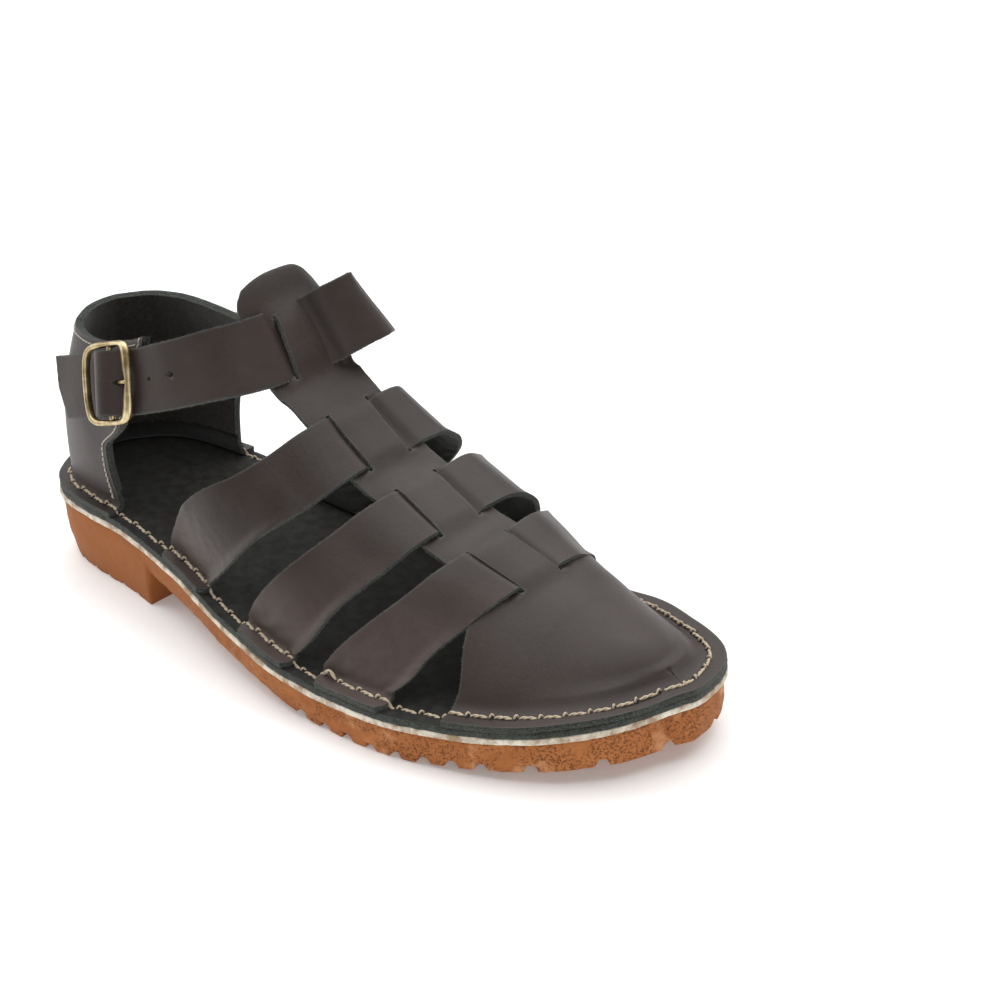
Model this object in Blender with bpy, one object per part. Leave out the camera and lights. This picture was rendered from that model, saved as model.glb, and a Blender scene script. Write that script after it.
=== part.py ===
"""A closed-toe sandal with woven straps, right shoe, standing on its sole.

Metres, +Z up, toe to +X, outer side to -Y. Shapes are worked out in the last's own frame, with the
heel's back at x = 0 and the floor at z = 0, and are moved so that the origin is under the middle.
"""

import math

import bpy
import numpy as np

# Length and widths of the last
LENGTH = 0.274
BALL_WIDTH = 0.1043
ANKLE_HEIGHT = 0.0965

# Sole stack
HEEL_HEIGHT = 0.0236
HEEL_BREAST = 0.0685
BREAST_SLOPE = 0.0015
MIDSOLE_THICKNESS = 0.0013
INSOLE_THICKNESS = 0.0022
FIT_GAP = 0.0003
SOLE_SET_IN = 0.0006
TREAD_SET_IN = 0.0014
HEEL_SET_IN = 0.0046
SIDE_STEP_SHARE = 0.55

# Lugs
LUG_DEPTH = 0.0026
LUG_NOTCH = 0.0036
LUG_REACH = 0.011
LUG_OVERHANG = 0.004
HEEL_LUG_PITCH = 0.0086
SIDE_LUG_PITCH = 0.0095
TOE_LUG_PITCH = 0.0165
TREAD_GROOVE = 0.0032
# Where the edge's lugs stop before the heel breast, start again, and get wider (shares of LENGTH)
HEEL_LUGS_SHORT = 0.020
SIDE_LUGS_FROM = 0.577
TOE_LUGS_FROM = 0.852
# Grooves across the tread, and stations that keep its flat stretch flat (shares of LENGTH)
GROOVES = (0.07, 0.13, 0.19, 0.63, 0.67, 0.71, 0.76, 0.81, 0.85)
FLAT_STATIONS = (0.630, 0.804)

# Leather
LEATHER = 0.0019
COUNTER_WALL = 0.0028
FLANGE_HEEL = 0.0062
FLANGE_TOE = 0.0088
FOOT_ROUND = 0.0034
JOIN_DEPTH = 0.0005
BRIDGE_HALF = 0.0080
SLIT_GAP = 0.0012
STRAP_WAIST = 0.06
SWEEP_OUTER = 2.0
SWEEP_INNER = 2.4
STRAP_SETTLE_FROM = 1.25
BRIDGE_CLIMB = 0.14
BRIDGE_START = 0.35
VAMP_FADE = 0.09
COUNTER_TO_SIDE = 0.16
COUNTER_THICKENS = 0.2
T_NECK_HALF = 0.0160
T_WALL_SHARE = 0.62

# Ankle strap and buckle
STRAP_WIDTH = 0.0240
TAIL_WIDTH = 0.0215
BUCKLE_ALONG = 0.0238
BUCKLE_ACROSS = 0.0280
BUCKLE_BAR = 0.0028
BUCKLE_CORNER = 0.0032
BUCKLE_BOW = 0.0016
CENTRE_BAR = 0.0022
LOOP_LEATHER = 0.0011
LOOP_WIDTH = 0.0160
LOOP_END = 0.0085
BUCKLE_STRETCH = 0.62
PRONG_DIAMETER = 0.0015
PRONG_SLOT = 0.0052
CLEARANCE = 0.0004

# Outline of the sole: along (share of LENGTH), outer and inner half width (shares of BALL_WIDTH)
OUTLINE = (
    (0.000, 0.000, 0.000),
    (0.005, 0.096, 0.091),
    (0.022, 0.188, 0.163),
    (0.044, 0.258, 0.225),
    (0.080, 0.308, 0.274),
    (0.135, 0.334, 0.301),
    (0.197, 0.346, 0.309),
    (0.325, 0.405, 0.278),
    (0.453, 0.491, 0.320),
    (0.580, 0.539, 0.393),
    (0.690, 0.533, 0.448),
    (0.799, 0.470, 0.466),
    (0.891, 0.366, 0.398),
    (0.957, 0.205, 0.298),
    (0.989, 0.030, 0.192),
    (1.000, -0.046, 0.046),
)

# Sole levels: along (share of LENGTH), top and waist (shares of HEEL_HEIGHT)
SOLE_LEVELS = (
    (0.000, 1.000, 0.590),
    (0.080, 1.000, 0.590),
    (0.200, 0.985, 0.590),
    (0.259, 0.935, 0.570),
    (0.323, 0.870, 0.500),
    (0.418, 0.740, 0.385),
    (0.524, 0.570, 0.205),
    (0.587, 0.490, 0.070),
    (0.630, 0.455, 0.000),
    (0.730, 0.470, 0.000),
    (0.785, 0.497, 0.050),
    (0.873, 0.595, 0.160),
    (0.936, 0.700, 0.238),
    (1.000, 0.830, 0.300),
)

# Ridge of the last: along (share of LENGTH), height (share of ANKLE_HEIGHT), side (share of BALL_WIDTH)
RIDGE = (
    (0.1956, 1.480, 0.050),
    (0.2909, 1.330, 0.050),
    (0.3554, 1.205, 0.053),
    (0.3861, 1.095, 0.050),
    (0.4084, 1.003, 0.036),
    (0.4348, 0.906, 0.022),
    (0.4835, 0.815, 0.010),
    (0.5184, 0.742, 0.006),
    (0.5576, 0.674, 0.004),
    (0.5936, 0.633, 0.004),
    (0.6349, 0.582, -0.004),
    (0.6719, 0.541, -0.012),
    (0.7121, 0.517, -0.015),
    (0.7523, 0.476, -0.004),
    (0.7883, 0.440, 0.008),
    (0.8359, 0.399, 0.020),
    (0.8973, 0.337, 0.036),
)
# Sides of the last: along (share of LENGTH), then crown, steepness and bulge (share of BALL_WIDTH) of
# the curve from the ridge down to the sole, on the outer and on the inner side
SIDES = (
    (0.1956, 2.5, 0.50, 0.060, 6.0, 0.40, 0.150),
    (0.3554, 2.5, 0.50, 0.060, 6.0, 0.38, 0.160),
    (0.3861, 2.4, 0.50, 0.050, 6.5, 0.38, 0.160),
    (0.4348, 2.3, 0.50, 0.030, 7.0, 0.36, 0.160),
    (0.4835, 2.2, 0.50, 0.020, 8.0, 0.34, 0.160),
    (0.5576, 2.2, 0.55, 0.014, 8.5, 0.33, 0.130),
    (0.5936, 2.2, 0.58, 0.010, 7.5, 0.36, 0.105),
    (0.6349, 2.2, 0.62, 0.006, 6.4, 0.40, 0.075),
    (0.6719, 2.2, 0.66, 0.003, 5.6, 0.46, 0.050),
    (0.7121, 2.1, 0.72, 0.000, 4.4, 0.56, 0.025),
    (0.7523, 2.0, 0.80, 0.000, 3.4, 0.66, 0.008),
    (0.7883, 2.0, 0.86, 0.000, 2.8, 0.76, 0.000),
    (0.8359, 2.0, 0.90, 0.000, 2.2, 0.86, 0.000),
    (0.8973, 2.0, 0.92, 0.000, 2.0, 0.92, 0.000),
)
TOE_FAN_FROM = 0.7735
TOE_RIDGE_END = 0.8973

# Half width of the T strap: along (share of LENGTH), half width (share of T_NECK_HALF)
T_SHAPE = (
    (0.3558, 0.90),
    (0.3595, 1.10),
    (0.3650, 1.20),
    (0.3740, 1.27),
    (0.3870, 1.28),
    (0.4160, 1.20),
    (0.4340, 1.08),
    (0.4560, 1.00),
    (0.5766, 0.97),
    (0.6825, 0.95),
    (0.7333, 1.00),
    (0.7600, 1.06),
)
T_ROWS_TO_VAMP = (0.3558, 0.3595, 0.3650, 0.3740)
VAMP_REAR = 0.7600
VAMP_FOOT_OUTER = 0.7950
VAMP_FOOT_INNER = 0.7440

# Slits: rear and front end (shares of LENGTH)
ANKLE_SLIT = (0.3861, 0.4338)
# Cross straps: rear and front edge at the ridge, at the outer foot and at the inner foot
CROSS_STRAPS = (
    (0.4835, 0.5576, 0.3000, 0.3980, 0.3100, 0.4210),
    (0.5930, 0.6719, 0.4800, 0.5740, 0.4850, 0.5820),
    (0.7090, 0.7873, 0.6169, 0.7227, 0.6158, 0.7026),
)

# Heel counter: level up the wall, outer and inner front edge (shares of LENGTH)
COUNTER_FRONT = (
    (0.00, 0.183, 0.183),
    (0.25, 0.182, 0.172),
    (0.42, 0.186, 0.178),
    (0.55, 0.222, 0.208),
    (0.70, 0.246, 0.235),
    (1.00, 0.248, 0.240),
)
# Heel counter's top: along (share of LENGTH), height (share of ANKLE_HEIGHT) outside and inside
COUNTER_TOP = (
    (0.000, 0.915, 0.915),
    (0.110, 0.900, 0.918),
    (0.157, 0.910, 0.912),
    (0.182, 0.930, 0.908),
    (0.219, 0.965, 0.905),
    (0.250, 1.007, 0.905),
)
# Heel counter's lean outwards: level up the wall, at the back and at the sides (shares of BALL_WIDTH)
COUNTER_LEAN = (
    (0.00, 0.000, 0.000),
    (0.30, -0.006, 0.025),
    (0.57, -0.022, 0.034),
    (0.74, -0.042, 0.000),
    (1.00, -0.082, -0.052),
)

# Ankle strap's middle line: along (share of LENGTH), side (share of BALL_WIDTH), up (share of
# ANKLE_HEIGHT), tilt of its width towards the toe, in degrees, and lean of its top outwards
ANKLE_PATH = (
    (0.204, 0.296, 0.741, 28, -0.25),
    (0.245, 0.310, 0.780, 28, -0.27),
    (0.281, 0.324, 0.832, 29, -0.28),
    (0.321, 0.338, 0.890, 30, -0.28),
    (0.372, 0.345, 0.968, 31, -0.28),
    (0.415, 0.320, 1.036, 32, -0.28),
    (0.439, 0.240, 1.070, 33, -0.24),
    (0.434, 0.150, 1.055, 34, -0.14),
    (0.410, 0.034, 1.008, 36, 0.00),
    (0.406, -0.077, 1.005, 35, -0.15),
    (0.391, -0.173, 0.995, 33, -0.28),
    (0.363, -0.240, 0.972, 30, -0.35),
    (0.332, -0.280, 0.941, 28, -0.36),
    (0.299, -0.305, 0.907, 26, -0.35),
    (0.259, -0.316, 0.865, 25, -0.34),
    (0.219, -0.318, 0.829, 24, -0.33),
    (0.161, -0.314, 0.775, 22, -0.28),
    (0.099, -0.305, 0.720, 20, -0.25),
)
BUCKLE_AT = 0.2189
TAIL_SLANT = 0.0045


def curve(xs, ys, at):
    """A smooth curve through the points (xs, ys), which doesn't overshoot them."""
    xs = np.asarray(xs, float)
    ys = np.asarray(ys, float)
    at = np.asarray(at, float)
    step = np.diff(xs)
    rise = np.diff(ys) / step
    slope = np.empty(len(xs))
    slope[0] = rise[0]
    slope[-1] = rise[-1]
    product = rise[:-1] * rise[1:]
    total = rise[:-1] + rise[1:]
    slope[1:-1] = np.where(product > 0, 2 * product / np.where(total == 0, 1, total), 0)
    i = np.clip(np.searchsorted(xs, at, side="right") - 1, 0, len(xs) - 2)
    t = np.clip((at - xs[i]) / step[i], 0, 1)
    start = ys[i] * (1 + 2 * t) * (1 - t) ** 2 + slope[i] * step[i] * t * (1 - t) ** 2
    return start + ys[i + 1] * t**2 * (3 - 2 * t) + slope[i + 1] * step[i] * t**2 * (t - 1)


def column(table, number, at, size=1.0):
    """A table's column, read at a share of its first column and given in the size that it follows."""
    return size * curve([row[0] for row in table], [row[number] for row in table], at)


def ease(t):
    """0 to 1 with level ends."""
    t = np.clip(t, 0, 1)
    return t * t * (3 - 2 * t)


def join_xyz(x, y, z):
    return np.stack(np.broadcast_arrays(x, y, z), axis=-1)


# The outline as one closed curve: angle 0 is the heel's back, pi the toe's tip, the outer side between
_angles = [math.acos(1 - 2 * row[0]) for row in OUTLINE]
_loop_angle = _angles + [2 * math.pi - angle for angle in reversed(_angles[1:-1])]
_loop_side = [-row[1] for row in OUTLINE] + [row[2] for row in reversed(OUTLINE[1:-1])]
_period = 2 * math.pi
LOOP_ANGLE = np.concatenate([np.array(_loop_angle) + turn * _period for turn in (-1, 0, 1)])
LOOP_SIDE = np.concatenate([_loop_side] * 3)


def angle_at(along, side):
    """The outline's angle at a share of the length: side is -1 outside, +1 inside."""
    theta = np.arccos(1 - 2 * np.clip(along, 0, 1))
    return np.where(np.asarray(side) < 0, theta, _period - theta)


def outline(angle):
    x = LENGTH * (1 - np.cos(angle)) / 2
    y = BALL_WIDTH * curve(LOOP_ANGLE, LOOP_SIDE, np.mod(angle, _period))
    return np.stack([x, y], axis=-1)


def inward(angle):
    small = 0.01
    way = outline(np.asarray(angle) + small) - outline(np.asarray(angle) - small)
    way = way / np.linalg.norm(way, axis=-1, keepdims=True)
    return np.stack([-way[..., 1], way[..., 0]], axis=-1)


def rim(angle, inset):
    """The outline moved inwards."""
    return outline(angle) + inward(angle) * np.asarray(inset)[..., None]


def outsole_top(x):
    return column(SOLE_LEVELS, 1, x / LENGTH, HEEL_HEIGHT)


def waist_level(x):
    return column(SOLE_LEVELS, 2, x / LENGTH, HEEL_HEIGHT)


def tread(x):
    """The outsole's underside: flat heel, raised waist, flat ball and toe spring."""
    into_waist = np.clip((x - HEEL_BREAST) / BREAST_SLOPE, 0, 1)
    return waist_level(x) * into_waist


def midsole_bottom(x):
    return outsole_top(x) + FIT_GAP


def insole_bottom(x):
    return midsole_bottom(x) + MIDSOLE_THICKNESS + FIT_GAP


def insole_top(x):
    return insole_bottom(x) + INSOLE_THICKNESS


def flange_level(x):
    """Middle of the leather where it lies on the insole."""
    return insole_top(x) + FIT_GAP + LEATHER / 2


_sides = outline(np.linspace(0, _period, 721))[:, 1]
ORIGIN = np.array([LENGTH / 2, (_sides.max() + _sides.min()) / 2, 0])


def flange_width(along):
    return FLANGE_HEEL + (FLANGE_TOE - FLANGE_HEEL) * ease(along)


def section(along, side):
    """What shapes the last at one station and side."""
    angle = angle_at(along, side)
    foot = rim(angle, flange_width(along))
    fan = np.clip((along - TOE_FAN_FROM) / (1 - TOE_FAN_FROM), 0, 1)
    pull = 1 - (TOE_RIDGE_END - TOE_FAN_FROM) / (1 - TOE_FAN_FROM)
    ridge_along = np.where(
        along > TOE_FAN_FROM, TOE_FAN_FROM + (along - TOE_FAN_FROM) * (1 - pull * fan), along
    )
    ridge = np.stack([LENGTH * ridge_along, column(RIDGE, 2, ridge_along, BALL_WIDTH)], axis=-1)
    low = flange_level(foot[..., 0])
    high = column(RIDGE, 1, ridge_along, ANKLE_HEIGHT)
    outside = np.asarray(side) < 0
    crown, steep, bulge = [
        np.where(outside, column(SIDES, k, ridge_along), column(SIDES, k + 3, ridge_along))
        for k in (1, 2, 3)
    ]
    return angle, foot, ridge, low, high, crown, steep, bulge * BALL_WIDTH


def wall(along, side, out):
    """The last at a share of the way out from the ridge to the foot of the wall."""
    angle, foot, ridge, low, high, crown, steep, bulge = section(along, side)
    level = np.clip(1 - out**crown, 0, 1) ** steep
    plan = ridge + (foot - ridge) * out[..., None]
    plan = plan - inward(angle) * (bulge * np.sin(math.pi * level) * ease(out * 2 - 0.6))[..., None]
    return join_xyz(plan[..., 0], plan[..., 1], low + (high - low) * level)


def foot_start(along, side):
    """Where the wall ends and its round foot starts, as a share of the way out."""
    _, _, _, low, high, crown, steep, _ = section(along, side)
    level = FOOT_ROUND / (high - low)
    return (1 - level ** (1 / steep)) ** (1 / crown)


def leather(along, side, reach):
    """Middle of the upper: reach 0 is the ridge, 1 the wall's foot, 2 the flange, 3 its edge."""
    along, side, reach = np.broadcast_arrays(along, side, np.asarray(reach, float))
    last_turn = np.arcsin(foot_start(along, side))
    on_wall = wall(along, side, np.sin(last_turn * np.clip(reach, 0, 1)))
    angle, foot, _, low, *_ = section(along, side)
    corner = join_xyz(foot[..., 0], foot[..., 1], low)
    width = flange_width(along)
    inner = rim(angle, width - FOOT_ROUND)
    inner = join_xyz(inner[..., 0], inner[..., 1], flange_level(inner[..., 0]))
    t = np.clip(reach - 1, 0, 1)[..., None]
    rounded = on_wall * (1 - t) ** 2 + 2 * corner * t * (1 - t) + inner * t**2
    edge = rim(angle, (width - FOOT_ROUND) * np.clip(3 - reach, 0, 1))
    edge = join_xyz(edge[..., 0], edge[..., 1], flange_level(edge[..., 0]))
    return np.where(reach[..., None] > 2, edge, rounded)


def reach_of(along, side, distance):
    """The reach at distances down the leather from the ridge, and the whole way to the wall's foot."""
    fine = np.linspace(0, 1, 81)
    points = leather(np.full(81, along), np.full(81, side), fine)
    run = np.concatenate([[0], np.cumsum(np.linalg.norm(np.diff(points, axis=0), axis=1))])
    return np.interp(distance, run, fine), run[-1]


def mesh_object(name, points, faces, material=None):
    mesh = bpy.data.meshes.new(name)
    mesh.from_pydata([tuple(point - ORIGIN) for point in points], [], faces)
    mesh.validate()
    mesh.update()
    mesh.shade_smooth()
    mesh.set_sharp_from_angle(angle=math.radians(40))
    obj = bpy.data.objects.new(name, mesh)
    bpy.context.scene.collection.objects.link(obj)
    if material:
        mesh.materials.append(material)
    return obj


def as_helper(obj):
    obj.hide_render = True
    obj.display_type = "WIRE"
    return obj


def leather_normals(points, ids, flip):
    total = np.zeros((ids.max() + 1, 3))
    across = points[1:, 1:] - points[:-1, :-1]
    along = points[1:, :-1] - points[:-1, 1:]
    normal = np.cross(across, along) * flip
    corners = (ids[:-1, :-1], ids[1:, :-1], ids[1:, 1:], ids[:-1, 1:])
    for corner in corners:
        np.add.at(total, corner.ravel(), normal.reshape(-1, 3))
    total = total[ids]
    return total / np.maximum(np.linalg.norm(total, axis=-1, keepdims=True), 1e-12)


def sheet(name, points, thickness, lift=0.0, present=None, ids=None, flip=1, material=None):
    """A closed sheet of leather round a grid of middle points, with cells left out as openings."""
    rows, columns = points.shape[:2]
    if ids is None:
        ids = np.arange(rows * columns).reshape(rows, columns)
    if present is None:
        present = np.ones((rows - 1, columns - 1), bool)
    normals = leather_normals(points, ids, flip)
    lift = np.broadcast_to(lift, (rows, columns))[..., None]
    half = np.broadcast_to(thickness, (rows, columns))[..., None] / 2
    used = {}
    vertices = []
    for row in range(rows):
        for col in range(columns):
            if ids[row, col] in used:
                continue
            touching = present[max(row - 1, 0) : row + 1, max(col - 1, 0) : col + 1]
            if not touching.any():
                continue
            used[ids[row, col]] = len(vertices) // 2
            middle = points[row, col] + normals[row, col] * lift[row, col]
            vertices.append(middle + normals[row, col] * half[row, col])
            vertices.append(middle - normals[row, col] * half[row, col])
    faces = []
    edges = {}
    for row, col in zip(*np.nonzero(present)):
        quad = [ids[row, col], ids[row, col + 1], ids[row + 1, col + 1], ids[row + 1, col]]
        quad = [used[corner] for corner in quad]
        if flip < 0:
            quad.reverse()
        faces.append([2 * corner for corner in quad])
        faces.append([2 * corner + 1 for corner in reversed(quad)])
        for a, b in zip(quad, quad[1:] + quad[:1]):
            edges[(a, b)] = edges.get((a, b), 0) + 1
    for a, b in edges:
        if (b, a) not in edges:
            faces.append([2 * b, 2 * a, 2 * a + 1, 2 * b + 1])
    return mesh_object(name, vertices, faces, material)


def principled(name, color, roughness, metallic=0.0):
    material = bpy.data.materials.new(name)
    material.use_nodes = True
    shader = material.node_tree.nodes["Principled BSDF"]
    shader.inputs["Base Color"].default_value = (*color, 1)
    shader.inputs["Roughness"].default_value = roughness
    shader.inputs["Metallic"].default_value = metallic
    return material


def boolean(obj, other, operation):
    modifier = obj.modifiers.new(other.name, "BOOLEAN")
    modifier.object = as_helper(other)
    modifier.operation = operation
    modifier.solver = "EXACT"
    modifier.use_self = True


def slab(name, stations, levels, material):
    """A solid over the outline. Each level is (height, inset) as functions, from the lowest up."""
    outer = angle_at(np.asarray(stations[1:-1]), -1)
    inner = angle_at(np.asarray(stations[1:-1]), 1)
    loop = np.concatenate([[0.0], outer, [math.pi], inner[::-1]])
    count = len(loop)
    points = []
    for height, inset in levels:
        plan = rim(loop, inset(outline(loop)[:, 0]))
        points.append(join_xyz(plan[:, 0], plan[:, 1], height(plan[:, 0])))
    faces = []
    for level in range(len(levels) - 1):
        for i in range(count):
            j = (i + 1) % count
            low = level * count
            faces.append([low + i, low + j, low + count + j, low + count + i])
    last = (len(levels) - 1) * count
    for i in range(count // 2):
        j = (count - i) % count
        cap = [i, i + 1, count - i - 1, j]
        cap = list(dict.fromkeys(cap))
        faces.append([last + k for k in cap])
        faces.append(list(reversed(cap)))
    return mesh_object(name, np.concatenate(points), faces, material)


def side_level(share):
    return lambda x: tread(x) + (outsole_top(x) - tread(x)) * share


def bottom_set_in(x):
    """The heel block tapers more than the rest of the edge."""
    return TREAD_SET_IN + (HEEL_SET_IN - TREAD_SET_IN) * (1 - ease((x / HEEL_BREAST - 0.5) / 0.7))


def step_set_in(x):
    return SOLE_SET_IN + (bottom_set_in(x) - TREAD_SET_IN) * (1 - SIDE_STEP_SHARE)


def block(center, ways, sizes):
    """A box given by its centre, three directions and three full sizes."""
    corners = []
    for corner in np.ndindex(2, 2, 2):
        offsets = [(step - 0.5) * size * way for step, size, way in zip(corner, sizes, ways)]
        corners.append(center + sum(offsets))
    faces = [[0, 1, 3, 2], [4, 6, 7, 5], [0, 4, 5, 1], [2, 3, 7, 6], [0, 2, 6, 4], [1, 5, 7, 3]]
    return corners, faces


def joined_blocks(name, blocks):
    points = []
    faces = []
    for corners, sides in blocks:
        faces += [[len(points) + k for k in side] for side in sides]
        points += corners
    return as_helper(mesh_object(name, points, faces))


def lug_angles():
    """Angles of the notches round the edge, spaced by their pitch along the outline."""
    fine = np.linspace(0, _period, 2881)
    plan = outline(fine)
    run = np.concatenate([[0], np.cumsum(np.linalg.norm(np.diff(plan, axis=0), axis=1))])
    zones = []
    for side in (-1, 1):
        heel = (0.0, HEEL_BREAST / LENGTH - HEEL_LUGS_SHORT, HEEL_LUG_PITCH)
        ball = (SIDE_LUGS_FROM, TOE_LUGS_FROM, SIDE_LUG_PITCH)
        toe = (TOE_LUGS_FROM, 1.0, TOE_LUG_PITCH)
        zones += [(side, *zone) for zone in (heel, ball, toe)]
    found = []
    for side, start, end, pitch in zones:
        ends = np.interp(angle_at(np.array([start, end]), np.full(2, side)), fine, run)
        if side > 0 and start == 0.0:
            ends[0] = run[-1]
        low, high = sorted(ends)
        count = max(int((high - low) / pitch), 1)
        places = low + (np.arange(count) + 0.5) * (high - low) / count
        found += list(np.interp(places, run, fine))
    return found


def make_outsole(material):
    stations = list((1 - np.cos(np.linspace(0, math.pi, 45))) / 2)
    breast = HEEL_BREAST / LENGTH
    top_of_breast = (HEEL_BREAST + BREAST_SLOPE) / LENGTH
    stations = [s for s in stations if not breast - 0.008 < s < top_of_breast + 0.008]
    stations = sorted(stations + [breast, top_of_breast, *FLAT_STATIONS])
    levels = (
        (tread, bottom_set_in),
        (side_level(SIDE_STEP_SHARE), step_set_in),
        (outsole_top, lambda x: np.full_like(x, SOLE_SET_IN)),
    )
    outsole = slab("outsole", stations, levels, material)
    blocks = []
    up = np.array([0.0, 0.0, 1.0])
    for angle in lug_angles():
        edge = outline(angle)
        edge = rim(angle, bottom_set_in(edge[0]))
        way = np.append(inward(angle), 0.0)
        plan = edge + inward(angle) * (LUG_REACH - LUG_OVERHANG) / 2
        level = float(tread(edge[0] + way[0] * LUG_REACH / 2))
        center = np.array([plan[0], plan[1], level])
        along = np.cross(up, way)
        sizes = (LUG_REACH + LUG_OVERHANG, LUG_NOTCH, 2 * LUG_DEPTH)
        blocks.append(block(center, (way, along, up), sizes))
    across = np.array([0.0, 1.0, 0.0])
    front = np.array([1.0, 0.0, 0.0])
    for share in GROOVES:
        sides = [rim(angle_at(share, side), LUG_REACH + TREAD_GROOVE)[1] for side in (-1, 1)]
        x = share * LENGTH
        center = np.array([x, sum(sides) / 2, float(tread(x))])
        sizes = (TREAD_GROOVE, sides[1] - sides[0], 2 * LUG_DEPTH)
        blocks.append(block(center, (front, across, up), sizes))
    boolean(outsole, joined_blocks("lug_cutter", blocks), "DIFFERENCE")
    return outsole


def make_flat_layer(name, bottom, thickness, material):
    stations = list((1 - np.cos(np.linspace(0, math.pi, 37))) / 2)
    levels = ((bottom, np.zeros_like), (lambda x: bottom(x) + thickness, np.zeros_like))
    return slab(name, stations, levels, material)


# How far each layer of the weave is lifted: edges of the T strap, then the straps, then the bridges
STRAP_LIFT = LEATHER - JOIN_DEPTH
BRIDGE_LIFT = 2 * STRAP_LIFT


def slits():
    return (ANKLE_SLIT,) + tuple(strap[:2] for strap in CROSS_STRAPS)


def t_rows():
    """Stations down the T strap and vamp, with each slit's two ends among them."""
    rows = list(T_ROWS_TO_VAMP)
    ends = [end for slit in slits() for end in slit]
    for start, end in slits():
        rows += list(start + (end - start) * np.array([0, 0.12, 0.37, 0.63, 0.88, 1.0]))
    rows += [(a + b) / 2 for a, b in zip(ends[1:-1:2], ends[2::2])]
    rows += list(1 - (1 - ends[-1]) * (1 - np.sin(np.linspace(0, math.pi / 2, 13)[1:])))
    rows = [row for row in rows if abs(row - VAMP_REAR) > 0.003] + [VAMP_REAR]
    return np.array(sorted(set(np.round(rows, 5))))


def make_vamp(material):
    """Vamp and T strap in one sheet: narrow rows up the instep, full rows over the toes."""
    rows = t_rows()
    fixed = np.array([0.5, 1.0]) * BRIDGE_HALF
    slit_side = BRIDGE_HALF + SLIT_GAP
    margins = np.array([0.0, 0.5, 1.0])
    wall_shares = np.array([0.25, 0.5, 0.72, 0.88, 1.0])
    foot = np.array([1.33, 1.67, 2.0, 3.0])
    half = len(fixed) + len(margins) + len(wall_shares) + len(foot)
    count = len(rows)
    grid = np.empty((count, 2 * half + 1, 3))
    start = int(np.argmin(abs(rows - VAMP_REAR)))
    for i, along in enumerate(rows):
        t_half = float(column(T_SHAPE, 1, along, T_NECK_HALF))
        for side in (-1, 1):
            near = np.concatenate([fixed, slit_side + (t_half - slit_side) * margins])
            _, whole = reach_of(along, side, 0.0)
            near = near * min(1.0, T_WALL_SHARE * whole / near[-1])
            reach_t, _ = reach_of(along, side, near)
            outer = reach_t[-1] + (1 - reach_t[-1]) * wall_shares
            reach = np.concatenate([reach_t, outer, foot])
            rear_foot = VAMP_FOOT_OUTER if side < 0 else VAMP_FOOT_INNER
            fade = 1 - ease((along - VAMP_REAR) / VAMP_FADE)
            swing = ease((reach - reach_t[-1]) / (1 - reach_t[-1]))
            place = along + (rear_foot - VAMP_REAR) * fade * swing
            if i < start:
                place = np.full(len(reach), along)
            points = leather(place, np.full(len(reach), side), reach)
            if side < 0:
                grid[i, half - 1 :: -1] = points
            else:
                grid[i, half + 1 :] = points
        grid[i, half] = leather(np.array([along]), np.array([1]), np.array([0.0]))[0]
    ids = np.arange(count * (2 * half + 1)).reshape(count, -1)
    ids[-1, half + 1 :] = ids[-1, half - 1 :: -1]
    present = np.ones((count - 1, 2 * half), bool)
    t_cols = len(fixed) + len(margins)
    present[:start, : half - t_cols] = False
    present[:start, half + t_cols :] = False
    lift = np.zeros(grid.shape[:2])
    on_bridge = slice(half - len(fixed), half + len(fixed) + 1)
    for begin, end in slits():
        inside = (rows[:-1] >= begin - 1e-6) & (rows[1:] <= end + 1e-6)
        present[inside, half + len(fixed)] = False
        present[inside, half - len(fixed) - 1] = False
        inwards = np.minimum(rows - begin, end - rows) / (BRIDGE_CLIMB * (end - begin))
        rise = ease(inwards + BRIDGE_START)
        lift[:, on_bridge] = np.maximum(lift[:, on_bridge], BRIDGE_LIFT * rise[:, None])
    return sheet("upper", grid, LEATHER, lift, present, ids, -1, material)


def make_cross_strap(number):
    """One strap from the outer flange, through the T strap's slits, to the inner flange."""
    rear, front, outer_rear, outer_front, inner_rear, inner_front = CROSS_STRAPS[number]
    share = np.linspace(0, 1, 5)
    narrow = STRAP_WAIST * (front - rear)
    middle = rear + narrow + (front - rear - 2 * narrow) * share
    foot = np.array([1.33, 1.67, 2.0, 3.0])
    halves = []
    sides = (
        (-1, outer_rear, outer_front, SWEEP_OUTER),
        (1, inner_rear, inner_front, SWEEP_INNER),
    )
    for side, foot_rear, foot_front, power in sides:
        feet = foot_rear + (foot_front - foot_rear) * share
        _, whole = reach_of((middle.mean() + feet.mean()) / 2, side, 0.0)
        down = np.linspace(0, 1, 13)[1:]
        on_wall, _ = reach_of((middle.mean() + feet.mean()) / 2, side, down * whole)
        sweep = np.concatenate([down**power, np.ones(len(foot))])
        reach = np.concatenate([on_wall, foot])
        place = middle + (feet - middle) * sweep[:, None]
        points = leather(place, np.full(place.shape, side), reach[:, None])
        out = np.concatenate([down, np.ones(len(foot))]) * whole
        lift = STRAP_LIFT * (1 - ease(out / T_NECK_HALF - STRAP_SETTLE_FROM))
        halves.append((points, np.broadcast_to(lift[:, None], place.shape)))
    ridge = leather(middle, np.full(len(share), 1), 0.0)
    grid = np.concatenate([halves[0][0][::-1], ridge[None], halves[1][0]])
    lift = np.concatenate([halves[0][1][::-1], np.full((1, len(share)), STRAP_LIFT), halves[1][1]])
    return sheet(f"cross_strap_{number + 1}", grid, LEATHER, lift, flip=1)


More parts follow.
